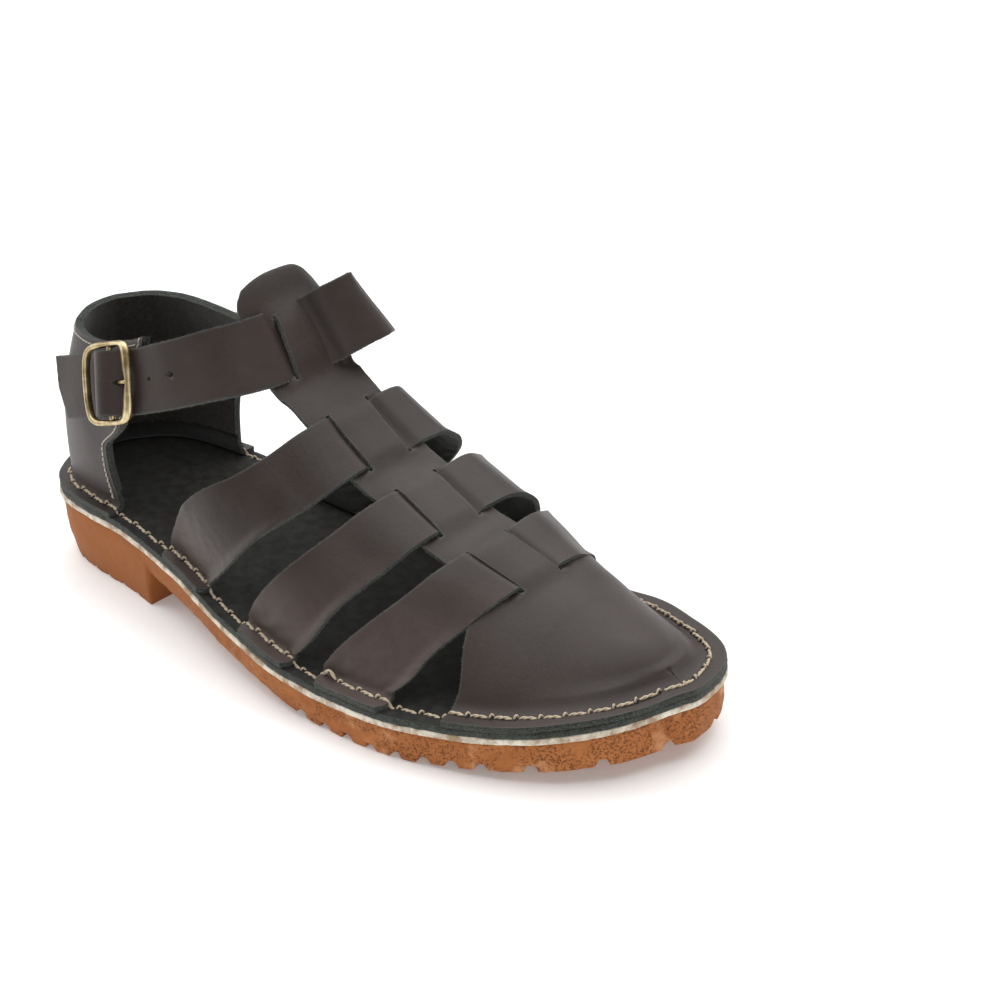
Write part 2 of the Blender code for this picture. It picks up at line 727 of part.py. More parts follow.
def make_counter():
    """The heel counter: a flange, a round foot and a wall that leans, round the heel in one sheet."""
    turn = np.linspace(-1, 1, 33)
    levels = np.array([0.07, 0.18, 0.3, 0.42, 0.5, 0.58, 0.66, 0.74, 0.87, 1.0])
    rows = np.concatenate([[-3.0, -2.0, -1.67, -1.33], levels])
    grid = np.empty((len(rows), len(turn), 3))
    for i, row in enumerate(rows):
        level = max(row, 0.0) if row > 0 else levels[0]
        foot_share = max(row, 0.0)
        outer = float(column(COUNTER_FRONT, 1, foot_share))
        inner = float(column(COUNTER_FRONT, 2, foot_share))
        front = np.where(turn < 0, angle_at(outer, -1), _period - angle_at(inner, 1))
        theta = front * abs(turn)
        angle = np.where(turn < 0, theta, _period - theta)
        along = (1 - np.cos(theta)) / 2
        to_side = ease(along / COUNTER_TO_SIDE)
        lean = column(COUNTER_LEAN, 1, level, BALL_WIDTH) * (1 - to_side)
        lean = lean + column(COUNTER_LEAN, 2, level, BALL_WIDTH) * to_side
        width = flange_width(along)
        plan = rim(angle, width - lean)
        low = flange_level(plan[:, 0])
        top = np.where(
            turn < 0,
            column(COUNTER_TOP, 1, along, ANKLE_HEIGHT),
            column(COUNTER_TOP, 2, along, ANKLE_HEIGHT),
        )
        wall_point = join_xyz(plan[:, 0], plan[:, 1], low + (top - low) * level)
        foot = rim(angle, width)
        corner = join_xyz(foot[:, 0], foot[:, 1], flange_level(foot[:, 0]))
        inside = rim(angle, width - FOOT_ROUND)
        inside = join_xyz(inside[:, 0], inside[:, 1], flange_level(inside[:, 0]))
        edge = rim(angle, np.zeros(len(turn)))
        edge = join_xyz(edge[:, 0], edge[:, 1], flange_level(edge[:, 0]))
        if row > 0:
            grid[i] = wall_point
        elif row == -3.0:
            grid[i] = edge
        else:
            t = -row - 1
            grid[i] = wall_point * (1 - t) ** 2 + 2 * corner * t * (1 - t) + inside * t**2
    thick = LEATHER + (COUNTER_WALL - LEATHER) * ease(rows / COUNTER_THICKENS)
    return sheet("heel_counter", grid, thick[:, None], 0.0, flip=-1)


def strap_frame(share):
    """Middle, way along, way down its width and way out of the ankle strap, at shares of its path."""
    places = np.array([[row[0] * LENGTH, row[1] * BALL_WIDTH, row[2] * ANKLE_HEIGHT] for row in ANKLE_PATH])
    run = np.concatenate([[0], np.cumsum(np.linalg.norm(np.diff(places, axis=0), axis=1))])
    at = np.asarray(share, float) * run[-1]

    def read(values, where):
        return curve(run, values, where)

    middle = np.stack([read(places[:, k], at) for k in range(3)], axis=-1)
    small = run[-1] * 0.004
    ahead = np.stack([read(places[:, k], at + small) for k in range(3)], axis=-1)
    behind = np.stack([read(places[:, k], at - small) for k in range(3)], axis=-1)
    along = ahead - behind
    along = along / np.linalg.norm(along, axis=-1, keepdims=True)
    tilt = np.radians(read([row[3] for row in ANKLE_PATH], at))
    lean = read([row[4] for row in ANKLE_PATH], at)
    away = np.sign(middle[..., 1])
    down = join_xyz(np.sin(tilt), -lean * away, -np.cos(tilt))
    down = down - along * np.sum(down * along, axis=-1, keepdims=True)
    down = down / np.linalg.norm(down, axis=-1, keepdims=True)
    out = np.cross(along, down)
    return middle, along, down, out, run[-1]


def buckle_share():
    """Where along the ankle strap its buckle sits."""
    shares = np.linspace(0.5, 1, 400)
    middle = strap_frame(shares)[0]
    return float(shares[np.argmin(abs(middle[:, 0] - BUCKLE_AT * LENGTH))])


# Heights over the leather at the buckle, outwards from the strap's middle where it runs flat
BAR_HEIGHT = LEATHER / 2 + 2 * CLEARANCE + BUCKLE_BAR / 2
CENTRE_HEIGHT = 0.0019
LOOP_MIDDLE = CENTRE_BAR / 2 + CLEARANCE + LOOP_LEATHER / 2
RING_MIDDLE = CENTRE_BAR / 2 + CLEARANCE + PRONG_DIAMETER / 2
RING_TOP = RING_MIDDLE + PRONG_DIAMETER / 2
BULGE = CENTRE_HEIGHT + RING_TOP + CLEARANCE + LEATHER / 2
BULGE_HALF = BUCKLE_ALONG / 2 - BUCKLE_BAR / 2
PRONG_TIP = BUCKLE_ALONG / 2 - BUCKLE_BAR - CLEARANCE


def bulge_of(distance):
    """How far the strap rises over the buckle's centre bar."""
    return BULGE * (1 - ease(abs(distance) / BULGE_HALF))


def make_ankle_strap():
    length = float(strap_frame(0.5)[4])
    center = buckle_share()
    shares = np.linspace(0, 1, 31)
    near = center + np.linspace(-1, 1, 13) * BUCKLE_ALONG * BUCKLE_STRETCH / length
    shares = np.concatenate([shares[abs(shares - center) > 0.7 * BUCKLE_ALONG / length], near])
    shares = np.sort(shares)
    across = np.linspace(-0.5, 0.5, 5)
    grid = np.empty((len(shares), len(across), 3))
    for i, share in enumerate(shares):
        slant = ease((share - center) / (1 - center)) * TAIL_SLANT / length
        places = np.clip(share - 2 * slant * across * (share > center), 0, 1)
        middle, _, down, out, _ = strap_frame(places)
        raised = bulge_of((share - center) * length)
        width = STRAP_WIDTH + (TAIL_WIDTH - STRAP_WIDTH) * ease((share - 0.5) / (center - 0.5))
        grid[i] = middle + down * (across * width)[:, None] + out * raised
    return sheet("ankle_strap", grid, LEATHER, 0.0, flip=-1)


def buckle_place(back, down, away):
    """A point in the buckle's own directions, which curve with the strap."""
    length = float(strap_frame(0.5)[4])
    middle, _, across, out, _ = strap_frame(buckle_share() + back / length)
    return middle + across * down + out * away


def tube(name, path, radius, closed, material=None, sides=10):
    """A round bar along a path. The radius may change along it."""
    path = np.asarray(path, float)
    count = len(path)
    radius = np.broadcast_to(radius, count)
    if closed:
        way = np.roll(path, -1, axis=0) - np.roll(path, 1, axis=0)
    else:
        way = np.gradient(path, axis=0)
    way = way / np.linalg.norm(way, axis=1, keepdims=True)
    side = np.cross(way[0], strap_frame(buckle_share())[3])
    if np.linalg.norm(side) < 0.1:
        side = np.cross(way[0], strap_frame(buckle_share())[2])
    points = []
    for i in range(count):
        side = side - way[i] * np.dot(side, way[i])
        side = side / np.linalg.norm(side)
        up = np.cross(way[i], side)
        for k in range(sides):
            turn = 2 * math.pi * k / sides
            points.append(path[i] + radius[i] * (math.cos(turn) * side + math.sin(turn) * up))
    faces = []
    for i in range(count if closed else count - 1):
        j = (i + 1) % count
        for k in range(sides):
            m = (k + 1) % sides
            faces.append([i * sides + k, i * sides + m, j * sides + m, j * sides + k])
    if not closed:
        faces.append(list(range(sides - 1, -1, -1)))
        faces.append([(count - 1) * sides + k for k in range(sides)])
    return mesh_object(name, points, faces, material)


def arc(center, radius, start, end, steps):
    """Points strictly inside an arc, in the buckle's plane. Angles are in degrees."""
    turns = np.radians(np.linspace(start, end, steps + 2)[1:-1])
    return [(center[0] + radius * math.cos(t), center[1] + radius * math.sin(t)) for t in turns]


def frame_path():
    """Middle line of the frame: front bar straight, rear bar bowed, corners round."""
    half_long = BUCKLE_ALONG / 2 - BUCKLE_BAR / 2
    half_wide = BUCKLE_ACROSS / 2 - BUCKLE_BAR / 2
    inner_long = half_long - BUCKLE_CORNER
    inner_wide = half_wide - BUCKLE_CORNER
    path = [(-half_long, t * inner_wide) for t in np.linspace(-1, 1, 5)]
    path += arc((-inner_long, inner_wide), BUCKLE_CORNER, 180, 90, 3)
    path += [(t * inner_long, half_wide) for t in np.linspace(-1, 1, 5)]
    path += arc((inner_long, inner_wide), BUCKLE_CORNER, 90, 0, 3)
    path += [(half_long + BUCKLE_BOW * (1 - t * t), t * inner_wide) for t in np.linspace(1, -1, 9)]
    path += arc((inner_long, -inner_wide), BUCKLE_CORNER, 0, -90, 3)
    path += [(t * inner_long, -half_wide) for t in np.linspace(1, -1, 5)]
    path += arc((-inner_long, -inner_wide), BUCKLE_CORNER, -90, -180, 3)
    return path


def make_buckle_frame(material):
    """Rounded frame whose sides dip to the centre bar."""
    half_long = BUCKLE_ALONG / 2 - BUCKLE_BAR / 2
    half_wide = BUCKLE_ACROSS / 2 - BUCKLE_BAR / 2
    rise = BAR_HEIGHT - CENTRE_HEIGHT
    places = [
        buckle_place(back, down, CENTRE_HEIGHT + rise * min(1.0, (back / half_long) ** 2))
        for back, down in frame_path()
    ]
    frame = tube("buckle_frame", places, BUCKLE_BAR / 2, True, material)
    ends = [buckle_place(0, sign * half_wide, CENTRE_HEIGHT) for sign in (-1, 1)]
    centre_bar = tube("centre_bar", np.linspace(ends[0], ends[1], 4), CENTRE_BAR / 2, False)
    boolean(frame, centre_bar, "UNION")
    return frame


def make_prong(material):
    """A ring round the centre bar and a pin from it, out through the strap to the front bar."""
    turns = np.radians(np.linspace(0, 360, 17)[:-1])
    ring = [
        buckle_place(RING_MIDDLE * math.cos(t), 0, CENTRE_HEIGHT + RING_MIDDLE * math.sin(t))
        for t in turns
    ]
    prong = tube("buckle_prong", ring, PRONG_DIAMETER / 2, True, material, sides=8)
    climb = BAR_HEIGHT - CENTRE_HEIGHT
    pin = [
        buckle_place(-RING_MIDDLE - (PRONG_TIP - RING_MIDDLE) * t, 0, CENTRE_HEIGHT + climb * ease(t))
        for t in np.linspace(0, 1, 5)
    ]
    boolean(prong, tube("prong_pin", pin, PRONG_DIAMETER / 2, False, sides=8), "UNION")
    return prong


def make_prong_hole():
    """The hole in the strap where the pin comes out."""
    start = PRONG_TIP + 2 * CLEARANCE
    end = RING_MIDDLE + PRONG_DIAMETER
    _, along, across, out, _ = strap_frame(buckle_share())
    center = buckle_place(-(start + end) / 2, 0, BAR_HEIGHT)
    sizes = (start - end, PRONG_DIAMETER + 2 * CLEARANCE, BAR_HEIGHT + BULGE)
    return joined_blocks("prong_hole", [block(center, (along, across, out), sizes)])


def make_loop():
    """The tab's own leather, led round the centre bar and slotted for the prong."""
    seat = -LEATHER / 2 - CLEARANCE
    turns = np.radians(np.linspace(-90, 90, 7))
    profile = [(-LOOP_END, seat), (-LOOP_END / 2, seat / 2)]
    profile += [
        (LOOP_MIDDLE * math.cos(t), CENTRE_HEIGHT + LOOP_MIDDLE * math.sin(t)) for t in turns
    ]
    top = CENTRE_HEIGHT + LOOP_MIDDLE
    for share in (0.4, 0.7):
        under_strap = bulge_of(share * LOOP_END) - LEATHER - LOOP_LEATHER
        profile.append((-share * LOOP_END, min(top, under_strap)))
    profile.append((-LOOP_END, seat + LOOP_LEATHER))
    widths = np.array([-LOOP_WIDTH / 2, -PRONG_SLOT / 2, PRONG_SLOT / 2, LOOP_WIDTH / 2])
    grid = np.array([[buckle_place(a, w, h) for w in widths] for a, h in profile])
    present = np.ones((len(profile) - 1, 3), bool)
    present[1:-1, 1] = False
    return sheet("buckle_loop", grid, LOOP_LEATHER, 0.0, present, flip=1)


for old in list(bpy.data.objects):
    bpy.data.objects.remove(old)

rubber = principled("orange_rubber", (0.52, 0.14, 0.04), 0.75)
cream = principled("cream_layer", (0.78, 0.72, 0.58), 0.8)
dark = principled("dark_insole_leather", (0.02, 0.018, 0.017), 0.7)
brown = principled("dark_brown_leather", (0.07, 0.053, 0.048), 0.5)
brass = principled("antique_brass", (0.45, 0.33, 0.16), 0.35, 1.0)

make_outsole(rubber)
make_flat_layer("midsole", midsole_bottom, MIDSOLE_THICKNESS, cream)
make_flat_layer("insole", insole_bottom, INSOLE_THICKNESS, dark)

upper = make_vamp(brown)
for strap_number in range(len(CROSS_STRAPS)):
    boolean(upper, make_cross_strap(strap_number), "UNION")
ankle_strap = make_ankle_strap()
boolean(ankle_strap, make_prong_hole(), "DIFFERENCE")
boolean(upper, ankle_strap, "UNION")
boolean(upper, make_counter(), "UNION")
boolean(upper, make_loop(), "UNION")
make_buckle_frame(brass)
make_prong(brass)
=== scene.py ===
"""The looks of the woven sandal: leather, threads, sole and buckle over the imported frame.

Metres, +Z up, toe to +X, outer side to -Y. The shapes are worked out in the last's own frame, as in
the part's source, with the heel's back at x = 0, and are moved by ORIGIN into the frame's.
"""

import math

import bmesh
import bpy
import numpy as np
from mathutils import Matrix, Vector, kdtree


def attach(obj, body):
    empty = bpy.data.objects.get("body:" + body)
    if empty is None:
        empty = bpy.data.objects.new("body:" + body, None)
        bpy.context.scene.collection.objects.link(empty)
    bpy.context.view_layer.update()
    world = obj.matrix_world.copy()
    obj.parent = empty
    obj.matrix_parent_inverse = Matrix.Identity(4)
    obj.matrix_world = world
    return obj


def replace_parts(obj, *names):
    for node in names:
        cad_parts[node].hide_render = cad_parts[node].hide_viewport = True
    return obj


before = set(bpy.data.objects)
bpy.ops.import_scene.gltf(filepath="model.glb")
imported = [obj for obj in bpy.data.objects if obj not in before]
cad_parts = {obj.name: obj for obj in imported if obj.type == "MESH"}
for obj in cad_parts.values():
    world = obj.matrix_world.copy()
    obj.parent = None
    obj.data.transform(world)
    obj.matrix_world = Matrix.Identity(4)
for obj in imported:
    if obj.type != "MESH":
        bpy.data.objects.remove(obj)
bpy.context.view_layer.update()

# Length and widths of the last
LENGTH = 0.274
BALL_WIDTH = 0.1043
ANKLE_HEIGHT = 0.0965

# Sole stack
HEEL_HEIGHT = 0.0236
HEEL_BREAST = 0.0685
BREAST_SLOPE = 0.0015
MIDSOLE_THICKNESS = 0.0013
INSOLE_THICKNESS = 0.0022
FIT_GAP = 0.0003
SOLE_SET_IN = 0.0006
TREAD_SET_IN = 0.0014
HEEL_SET_IN = 0.0034
SIDE_STEP_SHARE = 0.55
HEEL_TAPER_FROM = 0.5
HEEL_TAPER_OVER = 0.7

# Lugs
LUG_DEPTH = 0.0026
LUG_NOTCH = 0.0036
LUG_REACH = 0.011
HEEL_LUGS_SHORT = 0.02
SIDE_LUGS_FROM = 0.577
TOE_LUGS_FROM = 0.852
HEEL_LUG_PITCH = 0.0086
SIDE_LUG_PITCH = 0.0095
TOE_LUG_PITCH = 0.0165
TREAD_GROOVE = 0.0032
GROOVES = (0.07, 0.13, 0.19, 0.63, 0.67, 0.71, 0.76, 0.81, 0.85)

# Leather
LEATHER = 0.0019
COUNTER_WALL = 0.0028
FLANGE_HEEL = 0.0062
FLANGE_TOE = 0.0088
FOOT_ROUND = 0.0034
BRIDGE_HALF = 0.0080
SLIT_GAP = 0.0012
STRAP_WAIST = 0.06
T_NECK_HALF = 0.0160
T_WALL_SHARE = 0.62

# Ankle strap and buckle
STRAP_WIDTH = 0.0240
TAIL_WIDTH = 0.0215
BUCKLE_ALONG = 0.0238
BUCKLE_ACROSS = 0.0280
BUCKLE_BAR = 0.0028
BUCKLE_BOW = 0.0016
CENTRE_BAR = 0.0022
LOOP_LEATHER = 0.0011
LOOP_WIDTH = 0.0160
LOOP_END = 0.0085
PRONG_DIAMETER = 0.0015
PRONG_SLOT = 0.0052
CLEARANCE = 0.0004

# Outline of the sole: along (share of LENGTH), outer and inner half width (shares of BALL_WIDTH)
OUTLINE = (
    (0.000, 0.000, 0.000),
    (0.005, 0.096, 0.091),
    (0.022, 0.188, 0.163),
    (0.044, 0.258, 0.225),
    (0.080, 0.308, 0.274),
    (0.135, 0.334, 0.301),
    (0.197, 0.346, 0.309),
    (0.325, 0.405, 0.278),
    (0.453, 0.491, 0.320),
    (0.580, 0.539, 0.393),
    (0.690, 0.533, 0.448),
    (0.799, 0.470, 0.466),
    (0.891, 0.366, 0.398),
    (0.957, 0.205, 0.298),
    (0.989, 0.030, 0.192),
    (1.000, -0.046, 0.046),
)

# Sole levels: along (share of LENGTH), top and waist (shares of HEEL_HEIGHT)
SOLE_LEVELS = (
    (0.000, 1.000, 0.590),
    (0.080, 1.000, 0.590),
    (0.200, 0.985, 0.590),
    (0.259, 0.935, 0.570),
    (0.323, 0.870, 0.500),
    (0.418, 0.740, 0.385),
    (0.524, 0.570, 0.205),
    (0.587, 0.490, 0.070),
    (0.630, 0.455, 0.000),
    (0.730, 0.470, 0.000),
    (0.785, 0.497, 0.050),
    (0.873, 0.595, 0.160),
    (0.936, 0.700, 0.238),
    (1.000, 0.830, 0.300),
)

# Ridge of the last: along (share of LENGTH), height (share of ANKLE_HEIGHT), side (share of BALL_WIDTH)
RIDGE = (
    (0.1956, 1.480, 0.050),
    (0.2909, 1.330, 0.050),
    (0.3554, 1.205, 0.053),
    (0.3861, 1.095, 0.050),
    (0.4084, 1.003, 0.036),
    (0.4348, 0.906, 0.022),
    (0.4835, 0.815, 0.010),
    (0.5184, 0.742, 0.006),
    (0.5576, 0.674, 0.004),
    (0.5936, 0.633, 0.004),
    (0.6349, 0.582, -0.004),
    (0.6719, 0.541, -0.012),
    (0.7121, 0.517, -0.015),
    (0.7523, 0.476, -0.004),
    (0.7883, 0.440, 0.008),
    (0.8359, 0.399, 0.020),
    (0.8973, 0.337, 0.036),
)
# Sides of the last: along (share of LENGTH), then crown, steepness and bulge (share of BALL_WIDTH) of
# the curve from the ridge down to the sole, on the outer and on the inner side
SIDES = (
    (0.1956, 2.5, 0.50, 0.060, 6.0, 0.40, 0.150),
    (0.3554, 2.5, 0.50, 0.060, 6.0, 0.38, 0.160),
    (0.3861, 2.4, 0.50, 0.050, 6.5, 0.38, 0.160),
    (0.4348, 2.3, 0.50, 0.030, 7.0, 0.36, 0.160),
    (0.4835, 2.2, 0.50, 0.020, 8.0, 0.34, 0.160),
    (0.5576, 2.2, 0.55, 0.014, 8.5, 0.33, 0.130),
    (0.5936, 2.2, 0.58, 0.010, 7.5, 0.36, 0.105),
    (0.6349, 2.2, 0.62, 0.006, 6.4, 0.40, 0.075),
    (0.6719, 2.2, 0.66, 0.003, 5.6, 0.46, 0.050),
    (0.7121, 2.1, 0.72, 0.000, 4.4, 0.56, 0.025),
    (0.7523, 2.0, 0.80, 0.000, 3.4, 0.66, 0.008),
    (0.7883, 2.0, 0.86, 0.000, 2.8, 0.76, 0.000),
    (0.8359, 2.0, 0.90, 0.000, 2.2, 0.86, 0.000),
    (0.8973, 2.0, 0.92, 0.000, 2.0, 0.92, 0.000),
)
TOE_FAN_FROM = 0.7735
TOE_RIDGE_END = 0.8973

# Half width of the T strap: along (share of LENGTH), half width (share of T_NECK_HALF)
T_SHAPE = (
    (0.3558, 0.90),
    (0.3595, 1.10),
    (0.3650, 1.20),
    (0.3740, 1.27),
    (0.3870, 1.28),
    (0.4160, 1.20),
    (0.4340, 1.08),
    (0.4560, 1.00),
    (0.5766, 0.97),
    (0.6825, 0.95),
    (0.7333, 1.00),
    (0.7600, 1.06),
)
T_ROWS_TO_VAMP = (0.3558, 0.3595, 0.3650, 0.3740)
VAMP_REAR = 0.7600
VAMP_FOOT_OUTER = 0.7950
VAMP_FOOT_INNER = 0.7440

# Slits: rear and front end (shares of LENGTH)
ANKLE_SLIT = (0.3861, 0.4338)
# Cross straps: rear and front edge at the ridge, at the outer foot and at the inner foot
CROSS_STRAPS = (
    (0.4835, 0.5576, 0.3000, 0.3980, 0.3100, 0.4210),
    (0.5930, 0.6719, 0.4800, 0.5740, 0.4850, 0.5820),
    (0.7090, 0.7873, 0.6169, 0.7227, 0.6158, 0.7026),
)

# Heel counter: level up the wall, outer and inner front edge (shares of LENGTH)
COUNTER_FRONT = (
    (0.00, 0.183, 0.183),
    (0.25, 0.182, 0.172),
    (0.42, 0.186, 0.178),
    (0.55, 0.222, 0.208),
    (0.70, 0.246, 0.235),
    (1.00, 0.248, 0.240),
)
# Heel counter's top: along (share of LENGTH), height (share of ANKLE_HEIGHT) outside and inside
COUNTER_TOP = (
    (0.000, 0.915, 0.915),
    (0.110, 0.900, 0.918),
    (0.157, 0.910, 0.912),
    (0.182, 0.930, 0.908),
    (0.219, 0.965, 0.905),
    (0.250, 1.007, 0.905),
)
# Heel counter's lean outwards: level up the wall, at the back and at the sides (shares of BALL_WIDTH)
COUNTER_LEAN = (
    (0.00, 0.000, 0.000),
    (0.30, -0.006, 0.025),
    (0.57, -0.022, 0.034),
    (0.74, -0.042, 0.000),
    (1.00, -0.082, -0.052),
)

# Ankle strap's middle line: along (share of LENGTH), side (share of BALL_WIDTH), up (share of
# ANKLE_HEIGHT), tilt of its width towards the toe, in degrees, and lean of its top outwards
ANKLE_PATH = (
    (0.204, 0.296, 0.741, 28, -0.25),
    (0.245, 0.310, 0.780, 28, -0.27),
    (0.281, 0.324, 0.832, 29, -0.28),
    (0.321, 0.338, 0.890, 30, -0.28),
    (0.372, 0.345, 0.968, 31, -0.28),
    (0.415, 0.320, 1.036, 32, -0.28),
    (0.439, 0.240, 1.070, 33, -0.24),
    (0.434, 0.150, 1.055, 34, -0.14),
    (0.410, 0.034, 1.008, 36, 0.00),
    (0.406, -0.077, 1.005, 35, -0.15),
    (0.391, -0.173, 0.995, 33, -0.28),
    (0.363, -0.240, 0.972, 30, -0.35),
    (0.332, -0.280, 0.941, 28, -0.36),
    (0.299, -0.305, 0.907, 26, -0.35),
    (0.259, -0.316, 0.865, 25, -0.34),
    (0.219, -0.318, 0.829, 24, -0.33),
    (0.161, -0.314, 0.775, 22, -0.28),
    (0.099, -0.305, 0.720, 20, -0.25),
)
BUCKLE_AT = 0.2189
TAIL_SLANT = 0.0045

# Weave: how far bridges, margins and straps lie off the last, and the lengths over which they change
BRIDGE_RISE = 0.0019
BRIDGE_SAG = 0.18
BRIDGE_CLIMB = 0.0085
BRIDGE_LEAD = 0.0040
MARGIN_PRESS = 0.0009
MARGIN_SETTLE = 0.0025
MARGIN_FADE = 1.4
ANKLE_PRESS = 0.0013
ANKLE_PRESS_FADE = 1.5
ANKLE_DIVE = 0.0014
STRAP_OVER = 0.0018
STRAP_UNDER = 0.0001
STRAP_CLIMB = 0.0034
STRAP_EARLY = 0.2
STRAP_SETTLE_FROM = 1.15
VAMP_FADE = 0.09
SWEEP_OUTER = 2.0
SWEEP_INNER = 2.4

# Feet of the cross straps: curled edges, a flare to the front, creases and a narrower flange
CURL_FROM = 0.45
CURL_SHARE = 0.22
CURL_FRONT = 0.0021
CURL_REAR = 0.0005
FLARE = 0.0022
FLARE_AT = 0.90
FLARE_REACH = 0.13
FLARE_SHARE = 0.5
CREASE_DEPTH = 0.00018
CREASE_LENGTH = 0.007
CREASE_AT = 0.97
CREASE_REACH = 0.16
CREASE_SQUASH = (1.0, 1.0, 2.2)
FLANGE_TAPER = 0.13
FLANGE_TAPER_FROM = 2.3
# Heights over which strap leather lightens near the ground: partly wear, partly a painted highlight
FOOT_WEAR_AND_HIGHLIGHT_FULL = 0.030
FOOT_WEAR_AND_HIGHLIGHT_NONE = 0.050

# Toe: how many rows are rounded over its middle line, and what is smoothed after that
TOE_ROWS = 60
TOE_ROUND_TO = 0.82
TOE_ROUNDS = 420
TOE_SOFT_FROM = 0.84
TOE_SOFT_INSET = 0.010
TOE_SOFT_ROUNDS = 40

# Heel counter: its low wall, what turns it from back to side, and its two layers
COUNTER_LOW = 0.07
COUNTER_TO_SIDE = 0.16
COUNTER_THICKENS = 0.2
LINING_FROM = 0.12
COUNTER_COLUMNS = 181
COUNTER_LEVELS = 62
LINING_LEVELS = 50
OUTER_LAYER = 0.0016
LINING_LAYER = 0.0011

# Sheets: cell, number of steps over each stretch, rounded edge and soft waves
CELL = 0.0011
BRIDGE_STEPS = 8
WALL_STEPS = 37
TOE_STEPS = 75
STRAP_STEPS = 25
ANKLE_STEPS = 23
FOOT_REACH = np.concatenate([np.linspace(1, 2, 9)[1:], np.linspace(2, 3, 6)[1:]])
ANKLE_SAMPLES = np.linspace(0.3, 0.7, 161)
EDGE_ROUND = 0.00042
EDGE_SEGMENTS = 2
EDGE_ANGLE = 55
BORDER_REACH = 0.006
WAVE_DEPTH = 0.00016
WAVE_LENGTH = 0.030

# Loose fibres along the cut edges
FIBRE_SPACING = 0.00017
FIBRE_LONG = 0.00100
FIBRE_THIN = 0.00007
FIBRE_LEVELS = (0.04, 0.5, 0.96)
FIBRE_SCATTER = 0.05
FIBRE_LEAN = 0.55
FIBRE_BEND = 0.12
FIBRE_SHORTEST = 0.35
FIBRE_WAIST = 0.7
FIBRE_ROOT = 0.7

# Buckle: widths of the cast bars, and holes in the strap as (place back of the middle, radius, stretch)
FRAME_SQUARE = 5.0
FRONT_BOW_SHARE = 0.4
BAR_FROM = 0.25
BAR_OVER = 0.5
FRONT_THICKER = 0.05
FRONT_RIDGE = 0.35
FRONT_FLATTER = 0.3
FRAME_POINTS = 220
BAR_SIDES = 18
SIDE_BAR = 0.0021
REAR_BAR = 0.0019
FRONT_BAR = 0.0042
FRONT_BAR_NECK = 0.0026
NOTCH_LENGTH = 0.0034
PRONG_REST = 0.0008
PRONG_END = 0.0106
PRONG_QUICKER = 1.1
PRONG_TAPER = 0.12
PRONG_TIP_END = 1.02
PRONG_TIP_OVER = 0.08
LOOP_SHARES = (0.2, 0.4, 0.55, 0.7)
STRAP_HOLES = ((-0.0063, 0.0010, 0.0008), (-0.0190, 0.0007, 0.0), (-0.0285, 0.0011, 0.0))
HOLE_CUT = (-0.004, 0.006)
HOLE_SIDES = 16

# Stitches: pitch, half thickness and place of the welt's and of the fine ones
WELT_PITCH = 0.0080
WELT_THREAD = 0.00053
PLY_SHARE = 0.62
PLY_BITE = 0.9
WELT_SHARE = 0.60
WELT_TURNS = 1.2
WELT_SLANT = 0.00030
WELT_JOG = 0.00018
WELT_DIP = 0.0011
WELT_SPAN = (0.15, 0.84)
KNOT_SHARE = 0.7
KNOT_SPAN = 0.07
KNOT_RISE = 0.0010
KNOT_REACH = 0.0006
SLACK_ANGLE = 1.83
SLACK_RISE = 0.0026
# Needle holes: size, rings and height of the near-black cones of painted shade laid under the stitch ends
NEEDLE_HOLE = (0.00145, 0.00085)
NEEDLE_RINGS = ((1.0, 0.0), (0.75, 0.00004), (0.3, -0.0001))
NEEDLE_SIDES = 10
NEEDLE_ABOVE = 0.00006
FINE_PITCH = 0.0022
FINE_THREAD = 0.00026
FINE_FROM_EDGE = 0.0022
FINE_COLUMNS = 361
FINE_LEVELS = 90
COLLAR_ENDS = 6
FRONT_STITCH_OUTER = (0.0022,)
FRONT_STITCH_INNER = (0.0022, 0.0046)

# Sole: notches in its edge, its pitted side and the cream that shows
NOTCH_SLANT = 0.0012
HEEL_NOTCH_SHARE = 0.42
RUBBER_ROUGH = 0.00012
SIDE_STRAIGHT = 0.35
EDGE_EASE = 0.0003
EDGE_EASE_SHARE = 0.05
TOP_EASE = 0.0004
TOP_EASE_SHARE = 0.07
SOLE_STATIONS = 420
LUG_WALL = 0.0008
LUG_LIP = 0.0007
TOP_MARGIN = 0.0015
CREAM_SHOWN = 0.0021
CREAM_PROUD = 0.0003
CREAM_ROUGH = 0.00009
INSOLE_ROUGH = 0.00012

# Camera and light
CAMERA_PLACE = (0.47321538, -0.44328327, 0.37143227)
CAMERA_RIGHT = (0.74819274, 0.66255732, -0.03500609)
CAMERA_UP = (-0.27445774, 0.35710398, 0.8928324)
CAMERA_BACK = (0.60405346, -0.65840303, 0.44902659)
CAMERA_LENS = 79.916
WORLD_STRENGTH = 0.28
KEY_FROM = (-0.2, 0.35, 1.0)
KEY_STRENGTH = 3.3
KEY_ANGLE = 90
LIGHT_SIZE = 0.7
LEFT_LIGHT = ((-1.0, -0.45, 0.5), (-0.05, 0, 0.05), 3.5)
RIGHT_LIGHT = ((1.0, -0.75, 0.45), (0.05, 0, 0.02), 3.0)
FLOOR_HALF = 4.0
FLOOR_COLOR = (0.93, 0.93, 0.93)
FLOOR_GLOW = 0.15
FLOOR_GLOW_COLOR = (1, 0.995, 0.985, 1)


